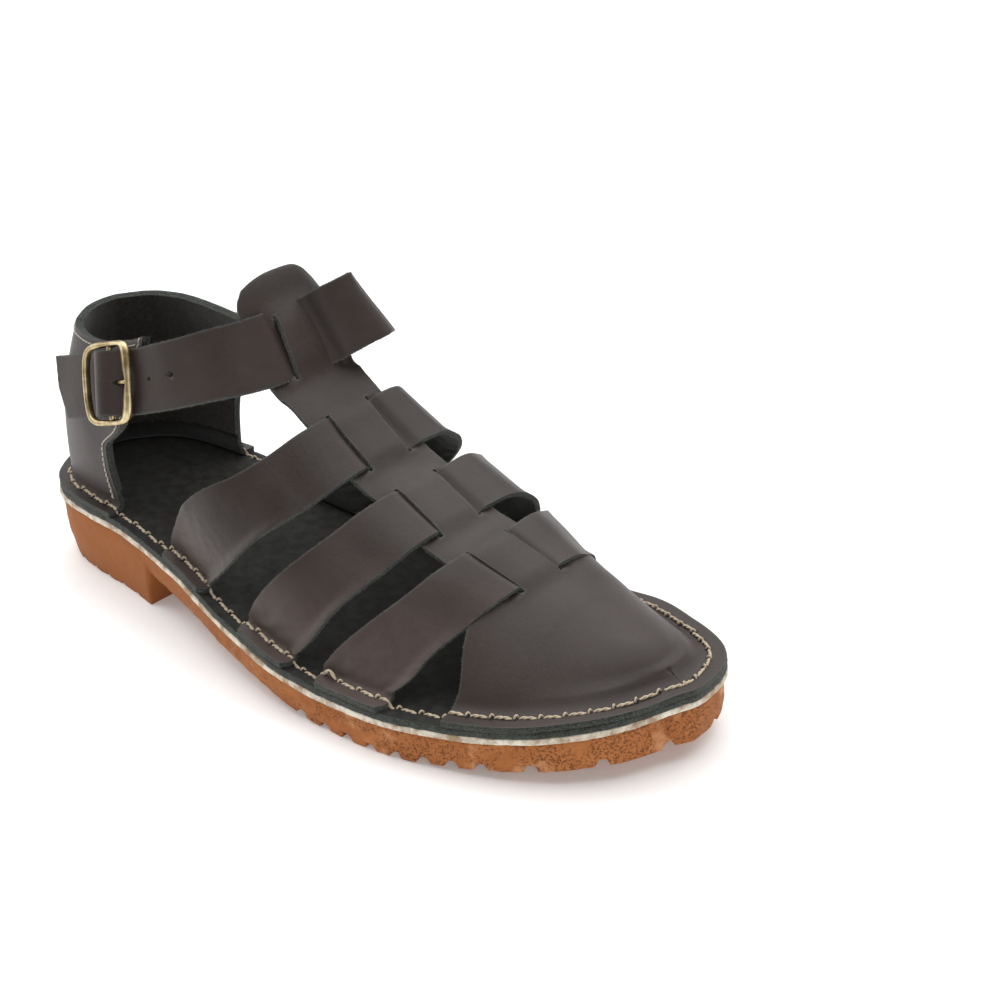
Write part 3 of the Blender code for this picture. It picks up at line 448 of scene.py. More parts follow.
def curve(xs, ys, at):
    """A smooth curve through the points (xs, ys), which doesn't overshoot them."""
    xs = np.asarray(xs, float)
    ys = np.asarray(ys, float)
    at = np.asarray(at, float)
    step = np.diff(xs)
    rise = np.diff(ys) / step
    slope = np.empty(len(xs))
    slope[0] = rise[0]
    slope[-1] = rise[-1]
    product = rise[:-1] * rise[1:]
    total = rise[:-1] + rise[1:]
    slope[1:-1] = np.where(product > 0, 2 * product / np.where(total == 0, 1, total), 0)
    i = np.clip(np.searchsorted(xs, at, side="right") - 1, 0, len(xs) - 2)
    t = np.clip((at - xs[i]) / step[i], 0, 1)
    start = ys[i] * (1 + 2 * t) * (1 - t) ** 2 + slope[i] * step[i] * t * (1 - t) ** 2
    return start + ys[i + 1] * t**2 * (3 - 2 * t) + slope[i + 1] * step[i] * t**2 * (t - 1)


def column(table, number, at, size=1.0):
    """A table's column, read at a share of its first column and given in the size that it follows."""
    return size * curve([row[0] for row in table], [row[number] for row in table], at)


def ease(t):
    """0 to 1 with level ends."""
    t = np.clip(t, 0, 1)
    return t * t * (3 - 2 * t)


def join_xyz(x, y, z):
    return np.stack(np.broadcast_arrays(x, y, z), axis=-1)


def on_level(plan, level):
    """Points of a plan, each at the height that level gives at its place along the shoe."""
    return join_xyz(plan[..., 0], plan[..., 1], level(plan[..., 0]))


def unit(ways):
    """The ways at length 1."""
    return ways / np.maximum(np.linalg.norm(ways, axis=-1, keepdims=True), 1e-12)


def run_along(points):
    """The distance along a path at each of its points."""
    return np.concatenate([[0], np.cumsum(np.linalg.norm(np.diff(points, axis=0), axis=1))])


# The outline as one closed curve: angle 0 is the heel's back, pi the toe's tip, the outer side between
FULL_TURN = 2 * math.pi
ANGLES_OUTSIDE = [math.acos(1 - 2 * row[0]) for row in OUTLINE]
ANGLES_ROUND = ANGLES_OUTSIDE + [FULL_TURN - angle for angle in reversed(ANGLES_OUTSIDE[1:-1])]
SIDES_ROUND = [-row[1] for row in OUTLINE] + [row[2] for row in reversed(OUTLINE[1:-1])]
LOOP_ANGLE = np.concatenate([np.array(ANGLES_ROUND) + turn * FULL_TURN for turn in (-1, 0, 1)])
LOOP_SIDE = np.concatenate([SIDES_ROUND] * 3)


def angle_at(along, side):
    """The outline's angle at a share of the length: side is -1 outside, +1 inside."""
    theta = np.arccos(1 - 2 * np.clip(along, 0, 1))
    return np.where(np.asarray(side) < 0, theta, FULL_TURN - theta)


def outline(angle):
    x = LENGTH * (1 - np.cos(angle)) / 2
    y = BALL_WIDTH * curve(LOOP_ANGLE, LOOP_SIDE, np.mod(angle, FULL_TURN))
    return np.stack([x, y], axis=-1)


def inward(angle):
    small = 0.01
    way = unit(outline(np.asarray(angle) + small) - outline(np.asarray(angle) - small))
    return np.stack([-way[..., 1], way[..., 0]], axis=-1)


def rim(angle, inset):
    """The outline moved inwards."""
    return outline(angle) + inward(angle) * np.asarray(inset)[..., None]


def outsole_top(x):
    return column(SOLE_LEVELS, 1, x / LENGTH, HEEL_HEIGHT)


def waist_level(x):
    return column(SOLE_LEVELS, 2, x / LENGTH, HEEL_HEIGHT)


def tread(x):
    """The outsole's underside: flat heel, raised waist, flat ball and toe spring."""
    into_waist = np.clip((x - HEEL_BREAST) / BREAST_SLOPE, 0, 1)
    return waist_level(x) * into_waist


def midsole_bottom(x):
    return outsole_top(x) + FIT_GAP


def insole_bottom(x):
    return midsole_bottom(x) + MIDSOLE_THICKNESS + FIT_GAP


def insole_top(x):
    return insole_bottom(x) + INSOLE_THICKNESS


def flange_level(x):
    """Middle of the leather where it lies on the insole."""
    return insole_top(x) + FIT_GAP + LEATHER / 2


RIM_SIDES = outline(np.linspace(0, FULL_TURN, 721))[:, 1]
ORIGIN = np.array([LENGTH / 2, (RIM_SIDES.max() + RIM_SIDES.min()) / 2, 0])


def flange_width(along):
    return FLANGE_HEEL + (FLANGE_TOE - FLANGE_HEEL) * ease(along)


def section(along, side):
    """What shapes the last at one station and side."""
    angle = angle_at(along, side)
    foot = rim(angle, flange_width(along))
    fan = np.clip((along - TOE_FAN_FROM) / (1 - TOE_FAN_FROM), 0, 1)
    pull = 1 - (TOE_RIDGE_END - TOE_FAN_FROM) / (1 - TOE_FAN_FROM)
    ridge_along = np.where(
        along > TOE_FAN_FROM, TOE_FAN_FROM + (along - TOE_FAN_FROM) * (1 - pull * fan), along
    )
    ridge = np.stack([LENGTH * ridge_along, column(RIDGE, 2, ridge_along, BALL_WIDTH)], axis=-1)
    low = flange_level(foot[..., 0])
    high = column(RIDGE, 1, ridge_along, ANKLE_HEIGHT)
    outside = np.asarray(side) < 0
    crown, steep, bulge = [
        np.where(outside, column(SIDES, k, ridge_along), column(SIDES, k + 3, ridge_along))
        for k in (1, 2, 3)
    ]
    return angle, foot, ridge, low, high, crown, steep, bulge * BALL_WIDTH


def wall(along, side, out):
    """The last at a share of the way out from the ridge to the foot of the wall."""
    angle, foot, ridge, low, high, crown, steep, bulge = section(along, side)
    level = np.clip(1 - out**crown, 0, 1) ** steep
    plan = ridge + (foot - ridge) * out[..., None]
    plan = plan - inward(angle) * (bulge * np.sin(math.pi * level) * ease(out * 2 - 0.6))[..., None]
    return join_xyz(plan[..., 0], plan[..., 1], low + (high - low) * level)


def foot_start(along, side):
    """Where the wall ends and its round foot starts, as a share of the way out."""
    _, _, _, low, high, crown, steep, _ = section(along, side)
    level = FOOT_ROUND / (high - low)
    return (1 - level ** (1 / steep)) ** (1 / crown)


def leather(along, side, reach):
    """Middle of the upper: reach 0 is the ridge, 1 the wall's foot, 2 the flange, 3 its edge."""
    along, side, reach = np.broadcast_arrays(along, side, np.asarray(reach, float))
    last_turn = np.arcsin(foot_start(along, side))
    on_wall = wall(along, side, np.sin(last_turn * np.clip(reach, 0, 1)))
    angle, foot, _, low, *_ = section(along, side)
    corner = join_xyz(foot[..., 0], foot[..., 1], low)
    width = flange_width(along)
    inner = on_level(rim(angle, width - FOOT_ROUND), flange_level)
    t = np.clip(reach - 1, 0, 1)[..., None]
    rounded = on_wall * (1 - t) ** 2 + 2 * corner * t * (1 - t) + inner * t**2
    edge = on_level(rim(angle, (width - FOOT_ROUND) * np.clip(3 - reach, 0, 1)), flange_level)
    return np.where(reach[..., None] > 2, edge, rounded)


def reach_of(along, side, distance):
    """The reach at distances down the leather from the ridge, and the whole way to the wall's foot."""
    fine = np.linspace(0, 1, 81)
    points = leather(np.full(81, along), np.full(81, side), fine)
    run = run_along(points)
    return np.interp(distance, run, fine), run[-1]


def bottom_set_in(x):
    """The heel block tapers more than the rest of the edge."""
    heel = 1 - ease((x / HEEL_BREAST - HEEL_TAPER_FROM) / HEEL_TAPER_OVER)
    return TREAD_SET_IN + (HEEL_SET_IN - TREAD_SET_IN) * heel


def run_round():
    """Angles round the outline with their distance along it."""
    fine = np.linspace(0, FULL_TURN, 5761)
    return fine, run_along(outline(fine))


def lug_angles():
    """Angles of the notches round the edge, spaced by their pitch along the outline."""
    fine = np.linspace(0, FULL_TURN, 2881)
    run = run_along(outline(fine))
    zones = []
    for side in (-1, 1):
        heel = (0.0, HEEL_BREAST / LENGTH - HEEL_LUGS_SHORT, HEEL_LUG_PITCH)
        ball = (SIDE_LUGS_FROM, TOE_LUGS_FROM, SIDE_LUG_PITCH)
        toe = (TOE_LUGS_FROM, 1.0, TOE_LUG_PITCH)
        zones += [(side, *zone) for zone in (heel, ball, toe)]
    found = []
    for side, start, end, pitch in zones:
        ends = np.interp(angle_at(np.array([start, end]), np.full(2, side)), fine, run)
        if side > 0 and start == 0.0:
            ends[0] = run[-1]
        low, high = sorted(ends)
        count = max(int((high - low) / pitch), 1)
        places = low + (np.arange(count) + 0.5) * (high - low) / count
        found += list(np.interp(places, run, fine))
    return found


def slits():
    return (ANKLE_SLIT,) + tuple(strap[:2] for strap in CROSS_STRAPS)


def strap_frame(share):
    """Middle, way along, way down its width and way out of the ankle strap, at shares of its path."""
    places = np.array([[row[0] * LENGTH, row[1] * BALL_WIDTH, row[2] * ANKLE_HEIGHT] for row in ANKLE_PATH])
    run = run_along(places)
    at = np.asarray(share, float) * run[-1]

    def read(values, where):
        return curve(run, values, where)

    middle = np.stack([read(places[:, k], at) for k in range(3)], axis=-1)
    small = run[-1] * 0.004
    ahead = np.stack([read(places[:, k], at + small) for k in range(3)], axis=-1)
    behind = np.stack([read(places[:, k], at - small) for k in range(3)], axis=-1)
    along = unit(ahead - behind)
    tilt = np.radians(read([row[3] for row in ANKLE_PATH], at))
    lean = read([row[4] for row in ANKLE_PATH], at)
    away = np.sign(middle[..., 1])
    down = join_xyz(np.sin(tilt), -lean * away, -np.cos(tilt))
    down = unit(down - along * np.sum(down * along, axis=-1, keepdims=True))
    out = np.cross(along, down)
    return middle, along, down, out, run[-1]


def buckle_share():
    """Where along the ankle strap its buckle sits."""
    shares = np.linspace(0.5, 1, 400)
    middle = strap_frame(shares)[0]
    return float(shares[np.argmin(abs(middle[:, 0] - BUCKLE_AT * LENGTH))])


# Heights over the leather at the buckle, outwards from the strap's middle where it runs flat
BAR_HEIGHT = LEATHER / 2 + 2 * CLEARANCE + BUCKLE_BAR / 2
CENTRE_HEIGHT = 0.0019
LOOP_MIDDLE = CENTRE_BAR / 2 + CLEARANCE + LOOP_LEATHER / 2
RING_MIDDLE = CENTRE_BAR / 2 + CLEARANCE + PRONG_DIAMETER / 2
RING_TOP = RING_MIDDLE + PRONG_DIAMETER / 2
BULGE = CENTRE_HEIGHT + RING_TOP + CLEARANCE + LEATHER / 2
BULGE_HALF = BUCKLE_ALONG / 2 - BUCKLE_BAR / 2


def bulge_of(distance):
    """How far the strap rises over the buckle's centre bar."""
    return BULGE * (1 - ease(abs(distance) / BULGE_HALF))


def buckle_place(back, down, away):
    """A point in the buckle's own directions, which curve with the strap."""
    length = float(strap_frame(0.5)[4])
    middle, _, across, out, _ = strap_frame(buckle_share() + back / length)
    return middle + across * down + out * away


def node_material(name, color, roughness, metallic=0.0):
    material = bpy.data.materials.new(name)
    material.use_nodes = True
    shader = material.node_tree.nodes["Principled BSDF"]
    shader.inputs["Base Color"].default_value = (*color, 1)
    shader.inputs["Roughness"].default_value = roughness
    shader.inputs["Metallic"].default_value = metallic
    return material, shader


class Tree:
    """Short ways to add nodes to one material."""

    def __init__(self, material):
        self.nodes = material.node_tree.nodes
        self.links = material.node_tree.links
        self.place = self.nodes.new("ShaderNodeTexCoord").outputs["Object"]

    def put(self, value, socket):
        if isinstance(value, bpy.types.NodeSocket):
            self.links.new(value, socket)
        elif value is not None:
            socket.default_value = value

    def stretched(self, scale):
        node = self.nodes.new("ShaderNodeMapping")
        node.inputs["Scale"].default_value = scale
        self.links.new(self.place, node.inputs["Vector"])
        return node.outputs["Vector"]

    def noise(self, size, detail=3.0, rough=0.55, vector=None, distortion=0.0):
        node = self.nodes.new("ShaderNodeTexNoise")
        node.inputs["Scale"].default_value = 1 / size
        node.inputs["Detail"].default_value = detail
        node.inputs["Roughness"].default_value = rough
        node.inputs["Distortion"].default_value = distortion
        self.links.new(vector or self.place, node.inputs["Vector"])
        return node.outputs["Fac"]

    def cells(self, size, feature="DISTANCE_TO_EDGE", vector=None):
        node = self.nodes.new("ShaderNodeTexVoronoi")
        node.feature = feature
        node.inputs["Scale"].default_value = 1 / size
        self.links.new(vector or self.place, node.inputs["Vector"])
        return node.outputs["Distance"]

    def ramp(self, value, *stops):
        """Colour or grey by value. Stops are (place, colour or number)."""
        node = self.nodes.new("ShaderNodeValToRGB")
        band = node.color_ramp
        while len(band.elements) < len(stops):
            band.elements.new(0.5)
        for element, (place, shade) in zip(band.elements, stops):
            element.position = place
            if not isinstance(shade, tuple):
                shade = (shade, shade, shade)
            element.color = (*shade, 1)
        self.links.new(value, node.inputs["Fac"])
        return node.outputs["Color"]

    def mix(self, factor, a, b, blend="MIX"):
        node = self.nodes.new("ShaderNodeMix")
        node.data_type = "RGBA"
        node.blend_type = blend
        self.put(factor, node.inputs["Factor"])
        for socket, value in ((node.inputs[6], a), (node.inputs[7], b)):
            if isinstance(value, tuple):
                value = (*value, 1)
            self.put(value, socket)
        return node.outputs[2]

    def math(self, kind, a, b=0.0, clamp=False):
        node = self.nodes.new("ShaderNodeMath")
        node.operation = kind
        node.use_clamp = clamp
        self.put(a, node.inputs[0])
        self.put(b, node.inputs[1])
        return node.outputs[0]

    def height(self):
        """The height over the ground in metres."""
        node = self.nodes.new("ShaderNodeSeparateXYZ")
        self.links.new(self.place, node.inputs[0])
        return node.outputs["Z"]

    def forward(self):
        """The place along the shoe as a share, 0 at the heel and 1 at the toe."""
        node = self.nodes.new("ShaderNodeSeparateXYZ")
        self.links.new(self.place, node.inputs[0])
        share = self.math("DIVIDE", node.outputs["X"], LENGTH)
        return self.math("ADD", share, 0.5, True)

    def attribute(self, name):
        node = self.nodes.new("ShaderNodeAttribute")
        node.attribute_name = name
        return node.outputs["Fac"]

    def bump(self, height, distance, strength=1.0, normal=None):
        node = self.nodes.new("ShaderNodeBump")
        node.inputs["Strength"].default_value = strength
        node.inputs["Distance"].default_value = distance
        self.links.new(height, node.inputs["Height"])
        if normal is not None:
            self.links.new(normal, node.inputs["Normal"])
        return node.outputs["Normal"]


def grain_leather(name, base, worn, edge_tint, roughness, specular, foot_wear_and_highlight=0.0):
    """Oiled grain leather: cells, pores, mottling, scuffs, a paler cut edge, and lighter colour low on a
    strap: partly wear, partly a painted highlight.
    """
    material, shader = node_material(name, base, roughness)
    tree = Tree(material)
    clouds = tree.noise(0.045, 4.0, 0.6)
    fine = tree.noise(0.004, 3.0, 0.6)
    color = tree.mix(tree.ramp(clouds, (0.30, 0.0), (0.72, 1.0)), base, worn)
    color = tree.mix(tree.math("MULTIPLY", fine, 0.35), color, tuple(c * 0.62 for c in base))
    scuff = tree.noise(0.012, 5.0, 0.75, tree.stretched((1.0, 3.5, 3.5)), 0.6)
    scuff = tree.ramp(scuff, (0.60, 0.0), (0.74, 1.0))
    color = tree.mix(tree.math("MULTIPLY", scuff, 0.16), color, tuple(c * 2.1 for c in worn))
    specks = tree.ramp(tree.cells(0.0075, "F1"), (0.0, 1.0), (0.022, 0.0))
    color = tree.mix(tree.math("MULTIPLY", specks, 0.35), color, tuple(c * 2.6 for c in worn))
    # Lighter low on a strap: partly scuffed wear, partly a painted highlight where the strap's foot faces the
    # overhead light
    low = tree.ramp(tree.height(), (FOOT_WEAR_AND_HIGHLIGHT_FULL, 1.0), (FOOT_WEAR_AND_HIGHLIGHT_NONE, 0.0))
    low = tree.math("MULTIPLY", low, tree.ramp(fine, (0.3, 0.55), (0.7, 1.0)))
    color = tree.mix(tree.math("MULTIPLY", low, foot_wear_and_highlight), color, tuple(c * 2.4 for c in worn))
    border = tree.attribute("border")
    rubbed = tree.ramp(border, (0.0, 1.0), (0.13, 0.0))
    rubbed = tree.math("MULTIPLY", rubbed, tree.ramp(fine, (0.35, 0.2), (0.7, 1.0)))
    color = tree.mix(tree.math("MULTIPLY", rubbed, 0.65), color, edge_tint)
    tree.links.new(color, shader.inputs["Base Color"])
    gloss = tree.math("MULTIPLY_ADD", clouds, 0.16)
    gloss.node.inputs[2].default_value = roughness - 0.08
    gloss = tree.math("ADD", gloss, tree.math("MULTIPLY", scuff, 0.08), True)
    tree.links.new(gloss, shader.inputs["Roughness"])
    grain = tree.ramp(tree.cells(0.00055), (0.0, 0.0), (0.16, 1.0))
    normal = tree.bump(grain, 0.00006, 0.35)
    normal = tree.bump(tree.noise(0.0016, 4.0, 0.65), 0.00022, 0.4, normal)
    creases = tree.noise(0.009, 4.0, 0.6, tree.stretched((1.0, 1.0, 1.6)), 0.9)
    normal = tree.bump(creases, 0.0004, 0.22, normal)
    tree.links.new(normal, shader.inputs["Normal"])
    shader.inputs["Specular IOR Level"].default_value = specular
    shader.inputs["Sheen Weight"].default_value = 0.04
    shader.inputs["Sheen Roughness"].default_value = 0.5
    return material


def flesh_leather(name, base, light, grain_size=0.0011):
    """The napped inner side of the leather."""
    material, shader = node_material(name, base, 0.92)
    tree = Tree(material)
    clouds = tree.noise(0.02, 5.0, 0.7)
    nap = tree.noise(grain_size, 6.0, 0.8)
    color = tree.mix(tree.ramp(clouds, (0.3, 0.0), (0.75, 1.0)), base, light)
    color = tree.mix(tree.ramp(nap, (0.42, 0.0), (0.72, 1.0)), tuple(c * 0.45 for c in base), color)
    tree.links.new(color, shader.inputs["Base Color"])
    normal = tree.bump(nap, 0.0005, 0.7)
    tree.links.new(normal, shader.inputs["Normal"])
    shader.inputs["Sheen Weight"].default_value = 0.25
    shader.inputs["Sheen Roughness"].default_value = 0.6
    shader.inputs["Specular IOR Level"].default_value = 0.15
    return material


def cut_edge(name, dark, light):
    """The cut edge of dyed leather: fibres in green-grey over near black."""
    material, shader = node_material(name, dark, 0.88)
    tree = Tree(material)
    fibres = tree.noise(0.0006, 6.0, 0.8, tree.stretched((1.0, 1.0, 2.4)))
    patches = tree.noise(0.005, 4.0, 0.6)
    factor = tree.ramp(fibres, (0.44, 0.0), (0.62, 1.0))
    factor = tree.math("MULTIPLY", factor, tree.ramp(patches, (0.2, 0.35), (0.75, 1.0)))
    tree.links.new(tree.mix(factor, dark, light), shader.inputs["Base Color"])
    normal = tree.bump(fibres, 0.0006, 0.85)
    tree.links.new(normal, shader.inputs["Normal"])
    shader.inputs["Sheen Weight"].default_value = 0.2
    shader.inputs["Specular IOR Level"].default_value = 0.2
    return material


def rubber_material():
    """Natural rubber: pitted and specked, with smoother pale patches."""
    base = (0.40, 0.138, 0.035)
    material, shader = node_material("natural_rubber", base, 0.72)
    tree = Tree(material)
    clouds = tree.noise(0.014, 5.0, 0.6)
    color = tree.mix(tree.ramp(clouds, (0.35, 0.0), (0.75, 1.0)), (0.34, 0.108, 0.026), (0.49, 0.182, 0.050))
    patch = tree.ramp(tree.noise(0.011, 3.0, 0.55), (0.56, 0.0), (0.68, 1.0))
    # Towards the heel the rubber is mixed to a darker brown: partly its own deeper tone, partly painted shade
    # that offsets the left lamp
    front = tree.ramp(tree.forward(), (0.30, 0.0), (0.62, 1.0))
    color = tree.mix(front, tree.mix(0.75, color, (0.31, 0.100, 0.022)), color)
    patch = tree.math("MULTIPLY", patch, front)
    color = tree.mix(tree.math("MULTIPLY", patch, 0.75), color, (0.62, 0.31, 0.15))
    pits = tree.ramp(tree.cells(0.0012, "F1"), (0.14, 1.0), (0.34, 0.0))
    zone = tree.ramp(tree.noise(0.012, 3.0, 0.6), (0.36, 0.0), (0.56, 1.0))
    zone = tree.math("MULTIPLY", zone, tree.ramp(front, (0.0, 0.18), (1.0, 1.0)))
    pits = tree.math("MULTIPLY", pits, zone)
    small = tree.ramp(tree.noise(0.0009, 4.0, 0.7), (0.34, 1.0), (0.46, 0.0))
    small = tree.math("MULTIPLY", small, zone)
    holes = tree.math("MAXIMUM", pits, small)
    calm = tree.math("SUBTRACT", 1.0, patch, True)
    holes = tree.math("MULTIPLY", holes, calm)
    # Painted shade: the pits and small holes are darkened in colour as well as bumped in
    color = tree.mix(tree.math("MULTIPLY", holes, 0.75), color, (0.12, 0.032, 0.010))
    tree.links.new(color, shader.inputs["Base Color"])
    normal = tree.bump(tree.math("SUBTRACT", 1.0, holes), 0.0006, 0.75)
    normal = tree.bump(tree.noise(0.003, 5.0, 0.7), 0.0008, 0.35, normal)
    tree.links.new(normal, shader.inputs["Normal"])
    shader.inputs["Specular IOR Level"].default_value = 0.3
    return material


def cream_material():
    base = (0.80, 0.75, 0.64)
    material, shader = node_material("cream_fibre", base, 0.85)
    tree = Tree(material)
    stain = tree.noise(0.006, 5.0, 0.7)
    color = tree.mix(tree.ramp(stain, (0.38, 1.0), (0.6, 0.0)), base, (0.36, 0.25, 0.15))
    tree.links.new(color, shader.inputs["Base Color"])
    normal = tree.bump(tree.noise(0.0007, 6.0, 0.8), 0.0004, 0.6)
    tree.links.new(normal, shader.inputs["Normal"])
    return material


def thread_material(name, light, dark):
    material, shader = node_material(name, light, 0.7)
    tree = Tree(material)
    fibres = tree.noise(0.00035, 4.0, 0.7)
    dirt = tree.noise(0.006, 4.0, 0.6)
    color = tree.mix(tree.ramp(fibres, (0.3, 1.0), (0.6, 0.0)), light, dark)
    color = tree.mix(tree.math("MULTIPLY", tree.ramp(dirt, (0.45, 0.0), (0.7, 1.0)), 0.4), color, dark)
    tree.links.new(color, shader.inputs["Base Color"])
    tree.links.new(tree.bump(fibres, 0.00015, 0.6), shader.inputs["Normal"])
    shader.inputs["Sheen Weight"].default_value = 0.3
    return material


def brass_material():
    base = (0.66, 0.55, 0.33)
    material, shader = node_material("antique_brass", base, 0.34, 1.0)
    tree = Tree(material)
    age = tree.noise(0.005, 5.0, 0.65)
    color = tree.mix(tree.ramp(age, (0.36, 0.0), (0.62, 1.0)), (0.30, 0.21, 0.10), base)
    tree.links.new(color, shader.inputs["Base Color"])
    rough = tree.ramp(tree.noise(0.0022, 4.0, 0.6), (0.3, 0.27), (0.7, 0.46))
    tree.links.new(rough, shader.inputs["Roughness"])
    normal = tree.bump(tree.noise(0.0009, 3.0, 0.6), 0.00012, 0.35)
    normal = tree.bump(tree.noise(0.005, 2.0, 0.5), 0.0006, 0.25, normal)
    tree.links.new(normal, shader.inputs["Normal"])
    return material


def plain(name, color, roughness):
    material, shader = node_material(name, color, roughness)
    tree = Tree(material)
    tint = tree.noise(0.0008, 3.0, 0.6)
    tree.links.new(tree.mix(tint, color, tuple(c * 0.8 for c in color)), shader.inputs["Base Color"])
    return material


LEATHER_BASE = (0.0255, 0.0168, 0.0140)
LEATHER_WORN = (0.047, 0.0325, 0.0282)
LEATHER_RUBBED = (0.085, 0.090, 0.075)
INSOLE_BASE = (0.0085, 0.0068, 0.0060)
INSOLE_WORN = (0.015, 0.0125, 0.0112)
INSOLE_RUBBED = (0.04, 0.042, 0.037)
GRAIN = grain_leather("grain_leather", LEATHER_BASE, LEATHER_WORN, LEATHER_RUBBED, 0.45, 0.30)
# Strap leather: the grain leather lightened low down, partly wear and partly a painted highlight
STRAP_GRAIN = grain_leather("strap_leather", LEATHER_BASE, LEATHER_WORN, LEATHER_RUBBED, 0.45, 0.30, 0.45)
FLESH = flesh_leather("flesh_leather", (0.020, 0.018, 0.016), (0.042, 0.039, 0.034))
EDGE = cut_edge("cut_leather_edge", (0.006, 0.008, 0.0065), (0.125, 0.140, 0.112))
NAP = flesh_leather("lining_nap", (0.034, 0.026, 0.021), (0.062, 0.050, 0.041), 0.0016)
INSOLE_FACE = grain_leather("insole_leather", INSOLE_BASE, INSOLE_WORN, INSOLE_RUBBED, 0.7, 0.14)
LEATHER_MATERIALS = [GRAIN, FLESH, EDGE]
STRAP_MATERIALS = [STRAP_GRAIN, FLESH, EDGE]
LINING_MATERIALS = [EDGE, NAP, EDGE]
RUBBER = rubber_material()
CREAM = cream_material()
THREAD = thread_material("waxed_cream_thread", (0.66, 0.55, 0.39), (0.34, 0.25, 0.15))
WHITE_THREAD = thread_material("fine_white_thread", (0.62, 0.58, 0.50), (0.30, 0.27, 0.22))
BRASS = brass_material()
FIBRE = plain("loose_fibre", (0.20, 0.215, 0.175), 0.9)
# Near-black for the needle holes: painted shade laid over the leather, not cut into it
NEEDLE_HOLE_SHADE = plain("needle_hole_painted_shade", (0.006, 0.006, 0.006), 0.9)


def waves(points, length, seed, count=9):
    """Soft random waves through space, mostly between -1 and 1."""
    source = np.random.default_rng(seed)
    total = np.zeros(points.shape[:-1])
    for _ in range(count):
        way = unit(source.normal(size=3))
        way = way * FULL_TURN / (length * source.uniform(0.6, 1.6))
        total += np.sin(points @ way + source.uniform(0, FULL_TURN))
    return total / math.sqrt(count)


def fill(keys, step):
    """The keys with more values between them, none further apart than step."""
    found = []
    for a, b in zip(keys[:-1], keys[1:]):
        count = max(1, math.ceil((b - a) / step))
        found += list(np.linspace(a, b, count, endpoint=False))
    return np.array(found + [keys[-1]])


def new_object(name, points, faces, materials, face_slots=None):
    mesh = bpy.data.meshes.new(name)
    mesh.from_pydata([tuple(point) for point in np.asarray(points) - ORIGIN], [], faces)
    for material in materials:
        mesh.materials.append(material)
    if face_slots is not None:
        mesh.polygons.foreach_set("material_index", np.asarray(face_slots, np.int32))
    mesh.update()
    shape = bmesh.new()
    shape.from_mesh(mesh)
    bmesh.ops.recalc_face_normals(shape, faces=shape.faces)
    shape.to_mesh(mesh)
    shape.free()
    mesh.shade_smooth()
    obj = bpy.data.objects.new(name, mesh)
    bpy.context.scene.collection.objects.link(obj)
    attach(obj, "root")
    return obj


def leather_normals(points, ids, flip):
    total = np.zeros((ids.max() + 1, 3))
    across = points[1:, 1:] - points[:-1, :-1]
    along = points[1:, :-1] - points[:-1, 1:]
    normal = np.cross(across, along) * flip
    for corner in (ids[:-1, :-1], ids[1:, :-1], ids[1:, 1:], ids[:-1, 1:]):
        np.add.at(total, corner.ravel(), normal.reshape(-1, 3))
    return unit(total[ids])


def add_bands(faces, low, rings, sides, closed=False):
    """Adds the faces between rings of points that follow each other from the point numbered low."""
    for ring in range(rings if closed else rings - 1):
        here = low + ring * sides
        there = low + (ring + 1) % rings * sides
        for k in range(sides):
            m = (k + 1) % sides
            faces.append([here + k, here + m, there + m, there + k])


def border_distance(points, on_border):
    """How far each point is from the nearest point of the cut edge."""
    places = points[on_border]
    tree = kdtree.KDTree(len(places))
    for i, place in enumerate(places):
        tree.insert(place, i)
    tree.balance()
    return np.array([tree.find(point)[2] for point in points])


# Start, end and way through the leather of each stretch of cut edge, for the loose fibres
CUT_EDGES = []


